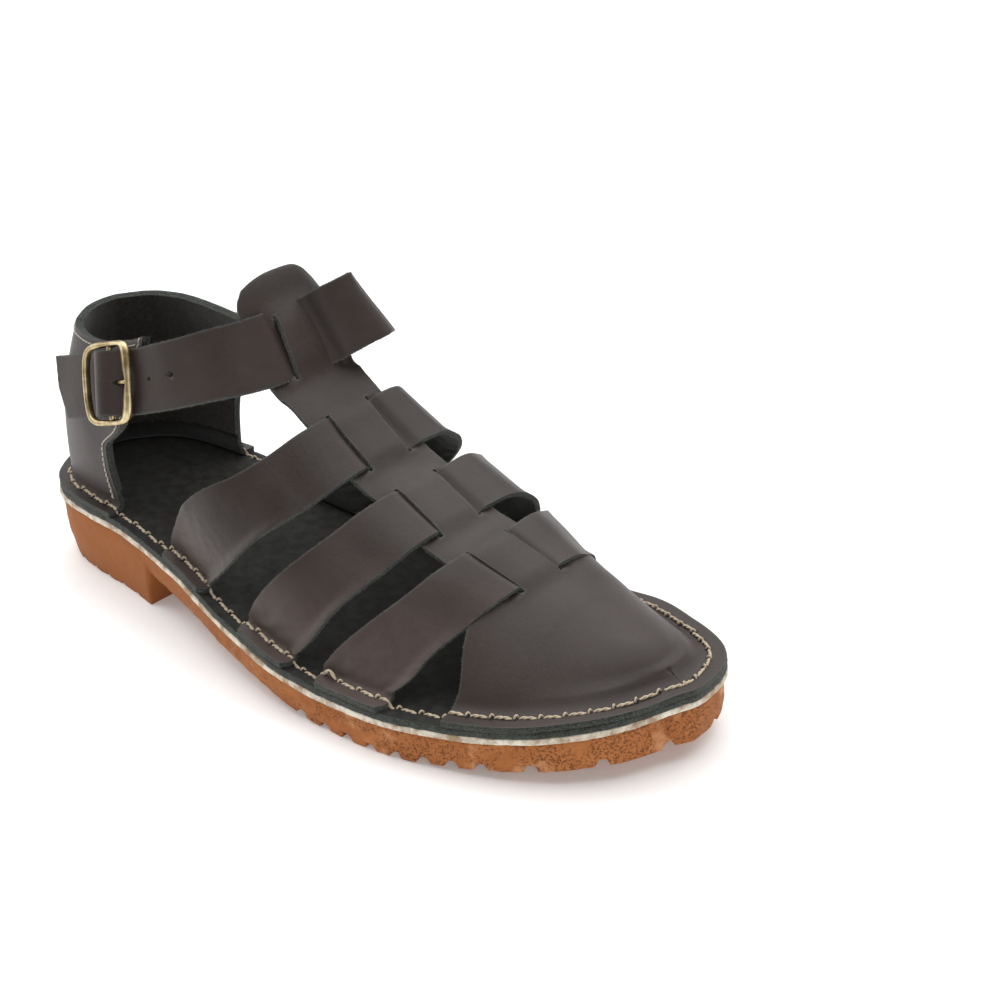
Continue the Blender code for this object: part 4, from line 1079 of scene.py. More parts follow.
def leather_sheet(
    name, grid, thickness, lift=0.0, present=None, ids=None, flip=1, seed=1, wave=WAVE_DEPTH, materials=None
):
    """A closed, waved sheet of leather: grain outside, flesh inside and a cut edge all round."""
    rows, columns = grid.shape[:2]
    if ids is None:
        ids = np.arange(rows * columns).reshape(rows, columns)
    if present is None:
        present = np.ones((rows - 1, columns - 1), bool)
    normals = leather_normals(grid, ids, flip)
    lift = np.broadcast_to(lift, (rows, columns))[..., None]
    half = np.broadcast_to(thickness, (rows, columns))[..., None] / 2
    middle = grid + normals * (lift + wave * waves(grid, WAVE_LENGTH, seed)[..., None])
    top = np.zeros((ids.max() + 1, 3))
    bottom = np.zeros((ids.max() + 1, 3))
    top[ids] = middle + normals * half
    bottom[ids] = middle - normals * half
    corners = (ids[:-1, :-1], ids[:-1, 1:], ids[1:, 1:], ids[1:, :-1])
    quads = np.stack([corner[present] for corner in corners], axis=-1)
    if flip < 0:
        quads = quads[:, ::-1]
    starts = quads.ravel()
    ends = np.roll(quads, -1, axis=1).ravel()
    size = ids.max() + 1
    keys = starts * size + ends
    rim_edges = ~np.isin(keys, ends * size + starts)
    used, quads = np.unique(quads, return_inverse=True)
    quads = quads.reshape(-1, 4)
    place = np.zeros(size, int)
    place[used] = np.arange(len(used))
    count = len(used)
    a = place[starts[rim_edges]]
    b = place[ends[rim_edges]]
    sides = np.stack([b, a, a + count, b + count], axis=-1)
    points = np.concatenate([top[used], bottom[used]])
    faces = quads.tolist() + (quads[:, ::-1] + count).tolist() + sides.tolist()
    faces = [list(dict.fromkeys(face)) for face in faces]
    slots = [0] * len(quads) + [1] * len(quads) + [2] * len(sides)
    kept = [len(face) > 2 for face in faces]
    faces = [face for face, keep in zip(faces, kept) if keep]
    slots = [number for number, keep in zip(slots, kept) if keep]
    out = top - bottom
    for start, end in zip(starts[rim_edges], ends[rim_edges]):
        CUT_EDGES.append((top[start], top[end], out[start]))
    on_border = np.zeros(count, bool)
    on_border[a] = True
    far = border_distance(points[:count], on_border)
    obj = new_object(name, points, faces, materials or LEATHER_MATERIALS, slots)
    border = obj.data.attributes.new("border", "FLOAT", "POINT")
    border.data.foreach_set("value", np.concatenate([far, far]).astype(np.float32) / BORDER_REACH)
    bevel = obj.modifiers.new("edge_round", "BEVEL")
    bevel.width = EDGE_ROUND
    bevel.segments = EDGE_SEGMENTS
    bevel.limit_method = "ANGLE"
    bevel.angle_limit = math.radians(EDGE_ANGLE)
    bevel.material = 2
    bevel.use_clamp_overlap = True
    return obj


def make_edge_fibres():
    """Short loose fibres that stand out of the leather's cut edges."""
    source = np.random.default_rng(91)
    points = []
    faces = []
    for start, end, out in CUT_EDGES:
        way = end - start
        long = np.linalg.norm(way)
        thick = np.linalg.norm(out)
        if long < 1e-5 or thick < 1e-5:
            continue
        way = way / long
        out = out / thick
        away = np.cross(way, out)
        for _ in range(source.poisson(long / FIBRE_SPACING)):
            level = source.choice(FIBRE_LEVELS) + FIBRE_SCATTER * source.normal()
            root = start + way * long * source.uniform() - out * thick * np.clip(level, 0, 1)
            root = root - away * EDGE_ROUND * FIBRE_ROOT * abs(2 * level - 1) ** 2
            lean = away + source.normal(size=3) * FIBRE_LEAN
            tip = root + lean / np.linalg.norm(lean) * FIBRE_LONG * source.uniform(FIBRE_SHORTEST, 1.0)
            side = way * FIBRE_THIN / 2 + source.normal(size=3) * FIBRE_THIN / 6
            bend = (root + tip) / 2 + source.normal(size=3) * FIBRE_LONG * FIBRE_BEND
            low = len(points)
            waist = side * FIBRE_WAIST
            points += [root - side, root + side, bend + waist, tip, bend - waist]
            faces.append([low, low + 1, low + 2, low + 3, low + 4])
    return new_object("edge_fibres", points, faces, [FIBRE], None)


def smooth_region(obj, from_x, border_from, rounds):
    """Softens a stretch of a sheet away from its cut edge."""
    shape = bmesh.new()
    shape.from_mesh(obj.data)
    border = shape.verts.layers.float["border"]
    chosen = [v for v in shape.verts if v.co.x > from_x and v[border] * BORDER_REACH > border_from]
    for _ in range(rounds):
        bmesh.ops.smooth_vert(
            shape, verts=chosen, factor=0.5, use_axis_x=True, use_axis_y=True, use_axis_z=True
        )
    shape.to_mesh(obj.data)
    shape.free()


def round_toe(grid, half, reach):
    """Rounds the vamp over the toe's middle line, where its two sides meet."""
    outer = grid[-TOE_ROWS:, half - 1 :: -1]
    inner = grid[-TOE_ROWS:, half + 1 :]
    across = np.concatenate([outer, inner[-2::-1]])
    steps = abs(np.arange(len(across)) - (TOE_ROWS - 1))
    amount = ease(2 * (1 - steps / (TOE_ROWS - 1)))[:, None, None]
    amount = amount * (1 - ease((reach - TOE_ROUND_TO) / (1 - TOE_ROUND_TO)))[None, :, None]
    for _ in range(TOE_ROUNDS):
        mean = (np.roll(across, 1, axis=0) + np.roll(across, -1, axis=0)) / 2
        across = across + amount * (mean - across) / 2
    grid[-TOE_ROWS:, half - 1 :: -1] = across[:TOE_ROWS]
    grid[-TOE_ROWS:, half + 1 :] = across[: TOE_ROWS - 2 : -1]


def t_rows():
    """Stations down the T strap and vamp, with each slit's two ends among them."""
    keys = list(T_ROWS_TO_VAMP[:1]) + [end for slit in slits() for end in slit] + [VAMP_REAR]
    keys = sorted(set(keys))
    rows = list(fill(keys, CELL / LENGTH))
    last = rows[-1]
    rows += list(1 - (1 - last) * (1 - np.sin(np.linspace(0, math.pi / 2, TOE_STEPS)[1:])))
    return np.array(rows)


def t_lift(rows, steps, bridge_steps, margin_steps):
    """How far the T strap rises over what is woven under it, by row and by steps from its middle."""
    bridge = np.clip(steps / bridge_steps, 0, 1)
    margin = np.clip((steps - bridge_steps - 1) / (margin_steps - 1), 0, 1)
    on_bridge = steps <= bridge_steps
    lift = np.zeros((len(rows), len(steps)))
    for begin, end in slits():
        run = (np.minimum(rows - begin, end - rows) * LENGTH)[:, None]
        rise = ease((run + BRIDGE_LEAD) / BRIDGE_CLIMB)
        middle = BRIDGE_RISE * rise * (1 - BRIDGE_SAG * bridge**2)
        beside = BRIDGE_RISE * rise * (1 - BRIDGE_SAG) * (1 - ease(margin * MARGIN_FADE))
        pressed = ease(run / MARGIN_SETTLE)
        beside = beside * (1 - pressed) - MARGIN_PRESS * pressed * (1 - ease(margin))
        if begin == ANKLE_SLIT[0]:
            early = ease((run + BRIDGE_LEAD) / BRIDGE_LEAD)
            beside = beside - ANKLE_PRESS * early * ease(ANKLE_PRESS_FADE * margin)
        here = np.where(on_bridge, middle, beside)
        lift = np.where(run > -BRIDGE_LEAD, here, lift)
    return lift


def weave_lift(out):
    """How far a woven strap lies over the last's leather, by its distance from the ridge."""
    rise = ease((out - BRIDGE_HALF) / STRAP_CLIMB + STRAP_EARLY)
    fall = ease(out / T_NECK_HALF - STRAP_SETTLE_FROM)
    return STRAP_UNDER + (STRAP_OVER - STRAP_UNDER) * rise * (1 - fall)


def make_vamp():
    """Vamp and T strap in one sheet: narrow rows up the instep, full rows over the toes."""
    rows = t_rows()
    fixed = np.linspace(0, BRIDGE_HALF, BRIDGE_STEPS)[1:]
    slit_side = BRIDGE_HALF + SLIT_GAP
    margins = np.linspace(0, 1, BRIDGE_STEPS)
    wall_shares = np.sin(np.linspace(0, math.pi / 2, WALL_STEPS)[1:])
    half = len(fixed) + len(margins) + len(wall_shares) + len(FOOT_REACH)
    count = len(rows)
    grid = np.empty((count, 2 * half + 1, 3))
    start = int(np.argmin(abs(rows - VAMP_REAR)))
    for i, along in enumerate(rows):
        t_half = float(column(T_SHAPE, 1, along, T_NECK_HALF))
        for side in (-1, 1):
            near = np.concatenate([fixed, slit_side + (t_half - slit_side) * margins])
            _, whole = reach_of(along, side, 0.0)
            near = near * min(1.0, T_WALL_SHARE * whole / near[-1])
            reach_t, _ = reach_of(along, side, near)
            outer = reach_t[-1] + (1 - reach_t[-1]) * wall_shares
            reach = np.concatenate([reach_t, outer, FOOT_REACH])
            rear_foot = VAMP_FOOT_OUTER if side < 0 else VAMP_FOOT_INNER
            fade = 1 - ease((along - VAMP_REAR) / VAMP_FADE)
            swing = ease((reach - reach_t[-1]) / (1 - reach_t[-1]))
            place = along + (rear_foot - VAMP_REAR) * fade * swing
            if i < start:
                place = np.full(len(reach), along)
            points = leather(place, np.full(len(reach), side), reach)
            if side < 0:
                grid[i, half - 1 :: -1] = points
            else:
                grid[i, half + 1 :] = points
        grid[i, half] = leather(np.array([along]), np.array([1]), np.array([0.0]))[0]
    round_toe(grid, half, reach)
    ids = np.arange(count * (2 * half + 1)).reshape(count, -1)
    ids[-1, half + 1 :] = ids[-1, half - 1 :: -1]
    present = np.ones((count - 1, 2 * half), bool)
    t_cols = len(fixed) + len(margins)
    present[:start, : half - t_cols] = False
    present[:start, half + t_cols :] = False
    for begin, end in slits():
        inside = (rows[:-1] >= begin - 1e-6) & (rows[1:] <= end + 1e-6)
        present[inside, half + len(fixed)] = False
        present[inside, half - len(fixed) - 1] = False
    lift = t_lift(rows, abs(np.arange(2 * half + 1) - half), len(fixed), len(margins))
    vamp = leather_sheet("vamp_and_t_strap", grid, LEATHER, lift, present, ids, -1, seed=3)
    smooth_region(vamp, TOE_SOFT_FROM * LENGTH - ORIGIN[0], TOE_SOFT_INSET, TOE_SOFT_ROUNDS)
    return vamp


def make_cross_strap(number):
    """One strap from the outer flange, through the T strap's slits, to the inner flange."""
    rear, front, outer_rear, outer_front, inner_rear, inner_front = CROSS_STRAPS[number]
    share = np.linspace(0, 1, STRAP_STEPS)
    narrow = STRAP_WAIST * (front - rear)
    middle = rear + narrow + (front - rear - 2 * narrow) * share
    halves = []
    for side, foot_rear, foot_front, power in (
        (-1, outer_rear, outer_front, SWEEP_OUTER),
        (1, inner_rear, inner_front, SWEEP_INNER),
    ):
        feet = foot_rear + (foot_front - foot_rear) * share
        _, whole = reach_of((middle.mean() + feet.mean()) / 2, side, 0.0)
        down = np.linspace(0, 1, 1 + math.ceil(whole / CELL))[1:]
        on_wall, _ = reach_of((middle.mean() + feet.mean()) / 2, side, down * whole)
        sweep = np.concatenate([down**power, np.ones(len(FOOT_REACH))])
        reach = np.concatenate([on_wall, FOOT_REACH])
        place = middle + (feet - middle) * sweep[:, None]
        taper = FLANGE_TAPER * ease((reach - FLANGE_TAPER_FROM) / (3 - FLANGE_TAPER_FROM))
        place = place + (feet.mean() - place) * taper[:, None]
        near_foot = np.exp(-(((reach - FLARE_AT) / FLARE_REACH) ** 2))
        flare = ease((share - 1 + FLARE_SHARE) / FLARE_SHARE) ** 2
        place = place + FLARE / LENGTH * near_foot[:, None] * flare[None, :]
        points = leather(place, np.full(place.shape, side), reach[:, None])
        out = np.concatenate([down, np.ones(len(FOOT_REACH))]) * whole
        lift = np.broadcast_to(weave_lift(out)[:, None], place.shape).copy()
        to_foot = ease((reach - CURL_FROM) / (1 - CURL_FROM)) * (1 - ease(reach - 1))
        front_edge = ease((share - 1 + CURL_SHARE) / CURL_SHARE) ** 2
        rear_edge = ease((CURL_SHARE - share) / CURL_SHARE) ** 2
        lift += to_foot[:, None] * (CURL_FRONT * front_edge + CURL_REAR * rear_edge)[None, :]
        crease = np.exp(-(((reach - CREASE_AT) / CREASE_REACH) ** 2))
        folds = waves(points * np.array(CREASE_SQUASH), CREASE_LENGTH, 40 + number)
        lift += CREASE_DEPTH * crease[:, None] * folds
        halves.append((points, lift))
    ridge = leather(middle, np.full(len(share), 1), 0.0)
    grid = np.concatenate([halves[0][0][::-1], ridge[None], halves[1][0]])
    lift = np.concatenate([halves[0][1][::-1], np.full((1, len(share)), STRAP_UNDER), halves[1][1]])
    name = f"cross_strap_{number + 1}"
    return leather_sheet(name, grid, LEATHER, lift, seed=10 + number, materials=STRAP_MATERIALS)


def counter_grid(turn, rows):
    """Middle of the heel counter. Rows under 0 are its foot and flange, as in the part's source."""
    grid = np.empty((len(rows), len(turn), 3))
    for i, row in enumerate(rows):
        level = row if row > 0 else COUNTER_LOW
        outer = float(column(COUNTER_FRONT, 1, max(row, 0.0)))
        inner = float(column(COUNTER_FRONT, 2, max(row, 0.0)))
        front = np.where(turn < 0, angle_at(outer, -1), FULL_TURN - angle_at(inner, 1))
        theta = front * abs(turn)
        angle = np.where(turn < 0, theta, FULL_TURN - theta)
        along = (1 - np.cos(theta)) / 2
        to_side = ease(along / COUNTER_TO_SIDE)
        lean = column(COUNTER_LEAN, 1, level, BALL_WIDTH) * (1 - to_side)
        lean = lean + column(COUNTER_LEAN, 2, level, BALL_WIDTH) * to_side
        width = flange_width(along)
        plan = rim(angle, width - lean)
        low = flange_level(plan[:, 0])
        top = np.where(
            turn < 0,
            column(COUNTER_TOP, 1, along, ANKLE_HEIGHT),
            column(COUNTER_TOP, 2, along, ANKLE_HEIGHT),
        )
        wall_point = join_xyz(plan[:, 0], plan[:, 1], low + (top - low) * level)
        corner = on_level(rim(angle, width), flange_level)
        inside = on_level(rim(angle, width - FOOT_ROUND), flange_level)
        edge = on_level(rim(angle, np.zeros(len(turn))), flange_level)
        if row > 0:
            grid[i] = wall_point
        elif row <= -2.0:
            grid[i] = inside + (edge - inside) * (-row - 2.0)
        else:
            t = -row - 1
            grid[i] = wall_point * (1 - t) ** 2 + 2 * corner * t * (1 - t) + inside * t**2
    return grid


def make_counter():
    """The heel counter's outer leather and its lining, whose edges show as two layers."""
    turn = np.linspace(-1, 1, COUNTER_COLUMNS)
    levels = np.linspace(COUNTER_LOW, 1, COUNTER_LEVELS)
    rows = np.concatenate([np.linspace(-3, -2, 6), np.linspace(-2, -1, 9)[1:-1], levels])
    grid = counter_grid(turn, rows)
    out = (COUNTER_WALL - OUTER_LAYER) / 2 * ease(rows / COUNTER_THICKENS)
    thick = LEATHER + (OUTER_LAYER - LEATHER) * ease(rows / COUNTER_THICKENS)
    outer = leather_sheet("heel_counter", grid, thick[:, None], out[:, None], flip=-1, seed=21)
    lining = leather_sheet(
        "counter_lining",
        counter_grid(turn, np.linspace(LINING_FROM, 1, LINING_LEVELS)),
        LINING_LAYER,
        (LINING_LAYER - COUNTER_WALL) / 2,
        flip=-1,
        seed=21,
        materials=LINING_MATERIALS,
    )
    return outer, lining


def ankle_widths(share, center):
    return STRAP_WIDTH + (TAIL_WIDTH - STRAP_WIDTH) * ease((share - 0.5) / (center - 0.5))


def under_bridge(share, length):
    """1 where the ankle strap passes under the T strap's bridge, 0 away from it."""
    middle = strap_frame(ANKLE_SAMPLES)[0]
    ridge_side = column(RIDGE, 2, middle[:, 0] / LENGTH, BALL_WIDTH)
    crossing = ANKLE_SAMPLES[np.argmin(abs(middle[:, 1] - ridge_side))]
    away = abs(share - crossing) * length
    return 1 - ease((away - BRIDGE_HALF) / STRAP_CLIMB + STRAP_EARLY)


def make_ankle_strap():
    length = float(strap_frame(0.5)[4])
    center = buckle_share()
    shares = np.linspace(0, 1, math.ceil(length / CELL))
    across = np.linspace(-0.5, 0.5, ANKLE_STEPS)
    grid = np.empty((len(shares), len(across), 3))
    for i, share in enumerate(shares):
        slant = ease((share - center) / (1 - center)) * TAIL_SLANT / length
        places = np.clip(share - 2 * slant * across * (share > center), 0, 1)
        middle, _, down, out, _ = strap_frame(places)
        raised = bulge_of((share - center) * length) - ANKLE_DIVE * under_bridge(share, length)
        width = ankle_widths(share, center)
        grid[i] = middle + down * (across * width)[:, None] + out * raised
    strap = leather_sheet("ankle_strap", grid, LEATHER, 0.0, flip=-1, seed=31)
    cutter = strap_holes()
    hole = strap.modifiers.new("holes", "BOOLEAN")
    hole.object = cutter
    hole.solver = "EXACT"
    apply_modifiers(strap)
    bpy.data.objects.remove(cutter)
    return strap


def apply_modifiers(obj):
    graph = bpy.context.evaluated_depsgraph_get()
    mesh = bpy.data.meshes.new_from_object(obj.evaluated_get(graph))
    old = obj.data
    obj.modifiers.clear()
    obj.data = mesh
    bpy.data.meshes.remove(old)


def strap_holes():
    """Cutters for the prong's hole and the two spare holes in front of the buckle."""
    points = []
    faces = []
    for back, radius, long in STRAP_HOLES:
        low = len(points)
        for height in HOLE_CUT:
            for turn in np.linspace(0, FULL_TURN, HOLE_SIDES, endpoint=False):
                place = back + (radius + long) * math.cos(turn)
                points.append(buckle_place(place, radius * math.sin(turn), height))
        add_bands(faces, low, 2, HOLE_SIDES)
        faces.append(list(range(low + HOLE_SIDES - 1, low - 1, -1)))
        faces.append(list(range(low + HOLE_SIDES, low + 2 * HOLE_SIDES)))
    mesh = bpy.data.meshes.new("strap_holes")
    mesh.from_pydata([tuple(point - ORIGIN) for point in points], [], faces)
    obj = bpy.data.objects.new("strap_holes", mesh)
    bpy.context.scene.collection.objects.link(obj)
    return obj


def make_loop():
    """The tab's own leather, led round the centre bar and slotted for the prong."""
    seat = -LEATHER / 2 - CLEARANCE
    turns = np.radians(np.linspace(-90, 90, 17))
    profile = [(-LOOP_END, seat), (-0.75 * LOOP_END, seat), (-LOOP_END / 2, seat / 2)]
    profile += [
        (LOOP_MIDDLE * math.cos(t), CENTRE_HEIGHT + LOOP_MIDDLE * math.sin(t)) for t in turns
    ]
    top = CENTRE_HEIGHT + LOOP_MIDDLE
    for share in LOOP_SHARES:
        under_strap = bulge_of(share * LOOP_END) - LEATHER - LOOP_LEATHER
        profile.append((-share * LOOP_END, min(top, under_strap)))
    profile.append((-LOOP_END, seat + LOOP_LEATHER))
    widths = np.concatenate(
        [
            np.linspace(-LOOP_WIDTH / 2, -PRONG_SLOT / 2, 7),
            np.linspace(PRONG_SLOT / 2, LOOP_WIDTH / 2, 7),
        ]
    )
    grid = np.array([[buckle_place(a, w, h) for w in widths] for a, h in profile])
    present = np.ones((len(profile) - 1, len(widths) - 1), bool)
    present[1:-1, 6] = False
    return leather_sheet("buckle_loop", grid, LOOP_LEATHER, 0.0, present, flip=1, seed=33, wave=0.0)


def tube_faces(points, faces, path, radius, sides=6):
    """Adds a round thread along a path to the lists, closed at both ends."""
    path = np.asarray(path, float)
    count = len(path)
    radius = np.broadcast_to(radius, count)
    way = unit(np.gradient(path, axis=0))
    side = np.cross(way[0], (0.0, 0.0, 1.0))
    if np.linalg.norm(side) < 0.1:
        side = np.cross(way[0], (0.0, 1.0, 0.0))
    low = len(points)
    for i in range(count):
        side = side - way[i] * np.dot(side, way[i])
        side = side / np.linalg.norm(side)
        up = np.cross(way[i], side)
        for k in range(sides):
            turn = FULL_TURN * k / sides
            points.append(path[i] + radius[i] * (math.cos(turn) * side + math.sin(turn) * up))
    add_bands(faces, low, count, sides)
    last = low + (count - 1) * sides
    faces.append(list(range(low + sides - 1, low - 1, -1)))
    faces.append(list(range(last, last + sides)))


def twisted(points, faces, path, radius, turns, plies=2, sides=6):
    """Plies of thread twisted round each other along a path."""
    path = np.asarray(path, float)
    count = len(path)
    way = unit(np.gradient(path, axis=0))
    side = unit(np.cross(way, (0.0, 0.0, 1.0)))
    up = np.cross(side, way)
    thin = radius * PLY_SHARE
    for ply in range(plies):
        turn = np.linspace(0, FULL_TURN * turns, count) + FULL_TURN * ply / plies
        ring = (radius - thin * PLY_BITE) * (np.cos(turn)[:, None] * side + np.sin(turn)[:, None] * up)
        tube_faces(points, faces, path + ring, thin, sides)


def flange_pieces():
    """Angle intervals of the outline that a flange covers."""
    outer = float(column(COUNTER_FRONT, 1, 0.0))
    inner = float(column(COUNTER_FRONT, 2, 0.0))
    found = [(float(angle_at(inner, 1)) - FULL_TURN, float(angle_at(outer, -1)))]
    for strap in CROSS_STRAPS:
        found.append((float(angle_at(strap[2], -1)), float(angle_at(strap[3], -1))))
        found.append((float(angle_at(strap[5], 1)), float(angle_at(strap[4], 1))))
    found.append((float(angle_at(VAMP_FOOT_OUTER, -1)), float(angle_at(VAMP_FOOT_INNER, 1))))
    return found


def on_flange(angle, soft=0.02):
    """1 where a flange covers the insole's edge, 0 where the insole is bare, with a soft change."""
    angle = np.mod(np.asarray(angle, float), FULL_TURN)
    cover = np.zeros_like(angle)
    for start, end in flange_pieces():
        for turn in (-FULL_TURN, 0, FULL_TURN):
            at = angle + turn
            cover = np.maximum(cover, ease(np.minimum(at - start, end - at) / soft + 0.5))
    return cover


def welt_point(angle, inset, above):
    """A point over the stitched edge, at a height over whatever leather lies there."""
    plan = rim(angle, inset)
    base = insole_top(plan[..., 0]) + on_flange(angle) * (FIT_GAP + LEATHER)
    return join_xyz(plan[..., 0], plan[..., 1], base + above)


def make_welt_stitches():
    """The thick lock stitches round the sole, one of them slack. Returns where the needle's holes are."""
    fine, run = run_round()
    count = round(run[-1] / WELT_PITCH)
    marks = np.interp(np.arange(count + 1) * run[-1] / count, run, fine)
    source = np.random.default_rng(5)
    points = []
    faces = []
    holes = []
    for i in range(count):
        start, end = marks[i], marks[i + 1]
        side = -1 if start < math.pi else 1
        share = np.linspace(*WELT_SPAN, 15)
        angle = start + (end - start) * share
        along = (1 - np.cos(angle)) / 2
        slant = WELT_SLANT * (1 + 0.3 * source.normal())
        inset = flange_width(along) * WELT_SHARE + slant * (0.5 - share) * 2 * -side
        jog = WELT_JOG * source.normal()
        height = WELT_THREAD * 0.75 * np.sin(math.pi * share) ** 0.35
        height = height - WELT_DIP * (1 - np.sin(math.pi * share) ** 0.3)
        path = welt_point(angle, inset + jog, height)
        if start <= SLACK_ANGLE < end:
            path = path + np.array([0, 0, SLACK_RISE]) * np.sin(math.pi * share)[:, None] ** 2
        twisted(points, faces, path, WELT_THREAD, WELT_TURNS)
        knot_angles = start + (end - start) * np.linspace(-KNOT_SPAN, KNOT_SPAN, 7)
        knot = welt_point(knot_angles, inset[0] + jog, 0.0)
        knot = knot + np.outer(np.sin(np.linspace(0, math.pi, 7)), [0, 0, KNOT_RISE])
        across = np.append(inward(np.array(start)), 0.0)
        knot = knot + np.outer(np.linspace(-0.6, 1.4, 7), across) * KNOT_REACH
        tube_faces(points, faces, knot, WELT_THREAD * KNOT_SHARE, 7)
        holes.append((start, float(inset[0] + jog)))
    new_object("welt_stitches", points, faces, [THREAD])
    return holes


def make_needle_holes(holes):
    """A painted shadow for each needle hole: a small near-black cone laid on the leather under the end of
    each stitch.
    """
    points = []
    faces = []
    for angle, inset in holes:
        center = welt_point(np.array(angle), np.array(inset), NEEDLE_ABOVE)
        way = np.append(inward(np.array(angle)), 0.0)
        along = np.cross(way, (0.0, 0.0, 1.0))
        low = len(points)
        for radius, rise in NEEDLE_RINGS:
            for turn in np.linspace(0, FULL_TURN, NEEDLE_SIDES, endpoint=False):
                offset = NEEDLE_HOLE[0] * math.cos(turn) * way + NEEDLE_HOLE[1] * math.sin(turn) * along
                points.append(center + radius * offset + np.array([0, 0, rise]))
        add_bands(faces, low, len(NEEDLE_RINGS), NEEDLE_SIDES)
        last = low + (len(NEEDLE_RINGS) - 1) * NEEDLE_SIDES
        faces.append(list(range(last, last + NEEDLE_SIDES)))
    return new_object("needle_holes", points, faces, [NEEDLE_HOLE_SHADE])


def stitch_row(points, faces, path, normal):
    """Short machine stitches along a path, lying on a surface with these normals."""
    run = run_along(path)
    count = max(1, round(run[-1] / FINE_PITCH))
    step = run[-1] / count
    for i in range(count):
        at = (i + np.linspace(0.1, 0.9, 7)) * step
        center = np.stack([np.interp(at, run, path[:, k]) for k in range(3)], axis=-1)
        out = np.stack([np.interp(at, run, normal[:, k]) for k in range(3)], axis=-1)
        rise = FINE_THREAD * (1.5 * np.sin(np.linspace(0, math.pi, 7)) ** 0.6 - 0.6)
        tube_faces(points, faces, center + out * rise[:, None], FINE_THREAD, 6)


def surface_of(grid, flip):
    """Normals of a grid of points."""
    ids = np.arange(grid.shape[0] * grid.shape[1]).reshape(grid.shape[:2])
    return leather_normals(grid, ids, flip)


def make_counter_stitches():
    """Machine stitches down the counter's front edges and under its collar."""
    points = []
    faces = []
    turn = np.linspace(-1, 1, FINE_COLUMNS)
    levels = np.linspace(COUNTER_LOW, 1, FINE_LEVELS)
    grid = counter_grid(turn, levels)
    normals = surface_of(grid, -1)
    face = grid + normals * (COUNTER_WALL / 2)
    cell = np.linalg.norm(np.diff(face, axis=1), axis=2)
    for edge, rows in ((0, FRONT_STITCH_OUTER), (1, FRONT_STITCH_INNER)):
        for set_in in rows:
            path = []
            out = []
            for i in range(len(levels)):
                steps = cell[i] if edge == 0 else cell[i][::-1]
                run = np.concatenate([[0], np.cumsum(steps)])
                j = float(np.interp(set_in, run, np.arange(len(run))))
                k = j if edge == 0 else len(turn) - 1 - j
                lower = int(k)
                upper = min(lower + 1, len(turn) - 1)
                part = k - lower
                path.append(face[i, lower] * (1 - part) + face[i, upper] * part)
                out.append(normals[i, lower])
            stitch_row(points, faces, np.array(path), np.array(out))
    rise = np.linalg.norm(face[-1] - face[-2], axis=1).mean()
    down = int(round(FINE_FROM_EDGE / rise))
    row = len(levels) - 1 - down
    collar = slice(COLLAR_ENDS, -COLLAR_ENDS)
    stitch_row(points, faces, face[row, collar], normals[row, collar])
    return new_object("counter_stitches", points, faces, [WHITE_THREAD])


def notch_profile(angle):
    """How deep the lugs' notches are at angles round the outline, as a share of LUG_DEPTH."""
    fine, run = run_round()
    place = np.interp(angle, fine, run)
    deep = np.zeros_like(place)
    marks = lug_angles()
    for mark, center in zip(marks, np.interp(marks, fine, run)):
        on_heel = (1 - math.cos(mark)) / 2 < HEEL_BREAST / LENGTH
        gap = abs(place - center)
        gap = np.minimum(gap, run[-1] - gap)
        half = LUG_NOTCH / 2 * (HEEL_NOTCH_SHARE if on_heel else 1)
        depth = HEEL_NOTCH_SHARE if on_heel else 1
        deep = np.maximum(deep, depth * (1 - ease((gap - half + NOTCH_SLANT / 2) / NOTCH_SLANT)))
    return deep


def groove_profile(x):
    """How deep the grooves across the tread are, as a share of LUG_DEPTH."""
    gap = min(abs(x - share * LENGTH) for share in GROOVES)
    return float(1 - ease((gap - TREAD_GROOVE / 2 + NOTCH_SLANT / 2) / NOTCH_SLANT))


def even_stations():
    """Shares of the length, closer together at the heel's back and the toe's tip."""
    return (1 - np.cos(np.linspace(0, math.pi, SOLE_STATIONS))) / 2


def loop_of(stations):
    """Angles of the outline at stations, out along the outer side and back along the inner."""
    outer = angle_at(np.asarray(stations[1:-1]), -1)
    inner = angle_at(np.asarray(stations[1:-1]), 1)
    return np.concatenate([[0.0], outer, [math.pi], inner[::-1]])


def ring_solid(name, rings, materials, ring_slots, columns, grooves=0.0):
    """A closed solid from rings of points round the outline, from its underside up and over."""
    count = rings.shape[1]
    last = (len(rings) - 1) * count
    points = list(rings.reshape(-1, 3))
    faces = []
    add_bands(faces, 0, len(rings), count)
    slots = np.repeat(ring_slots, count).tolist()
    for base, cap_slot, turned in ((0, ring_slots[0], True), (last, ring_slots[-1], False)):
        ring = rings[base // count]
        half = count // 2
        rows = []
        for i in range(1, half):
            a = ring[i]
            b = ring[count - i]
            low = len(points)
            depth = grooves * groove_profile(a[0] + ORIGIN[0]) if turned else 0.0
            for step in np.linspace(0, 1, columns)[1:-1]:
                points.append(a + (b - a) * step + np.array([0.0, 0.0, depth]))
            rows.append([base + i] + list(range(low, len(points))) + [base + count - i])
        for one, two in zip(rows[:-1], rows[1:]):
            for k in range(columns - 1):
                face = [one[k], one[k + 1], two[k + 1], two[k]]
                faces.append(face[::-1] if turned else face)
                slots.append(cap_slot)
        for row, tip in ((rows[0], base), (rows[-1], base + half)):
            for k in range(columns - 1):
                faces.append([row[k], row[k + 1], tip])
                slots.append(cap_slot)
    return new_object(name, points, faces, materials, slots)


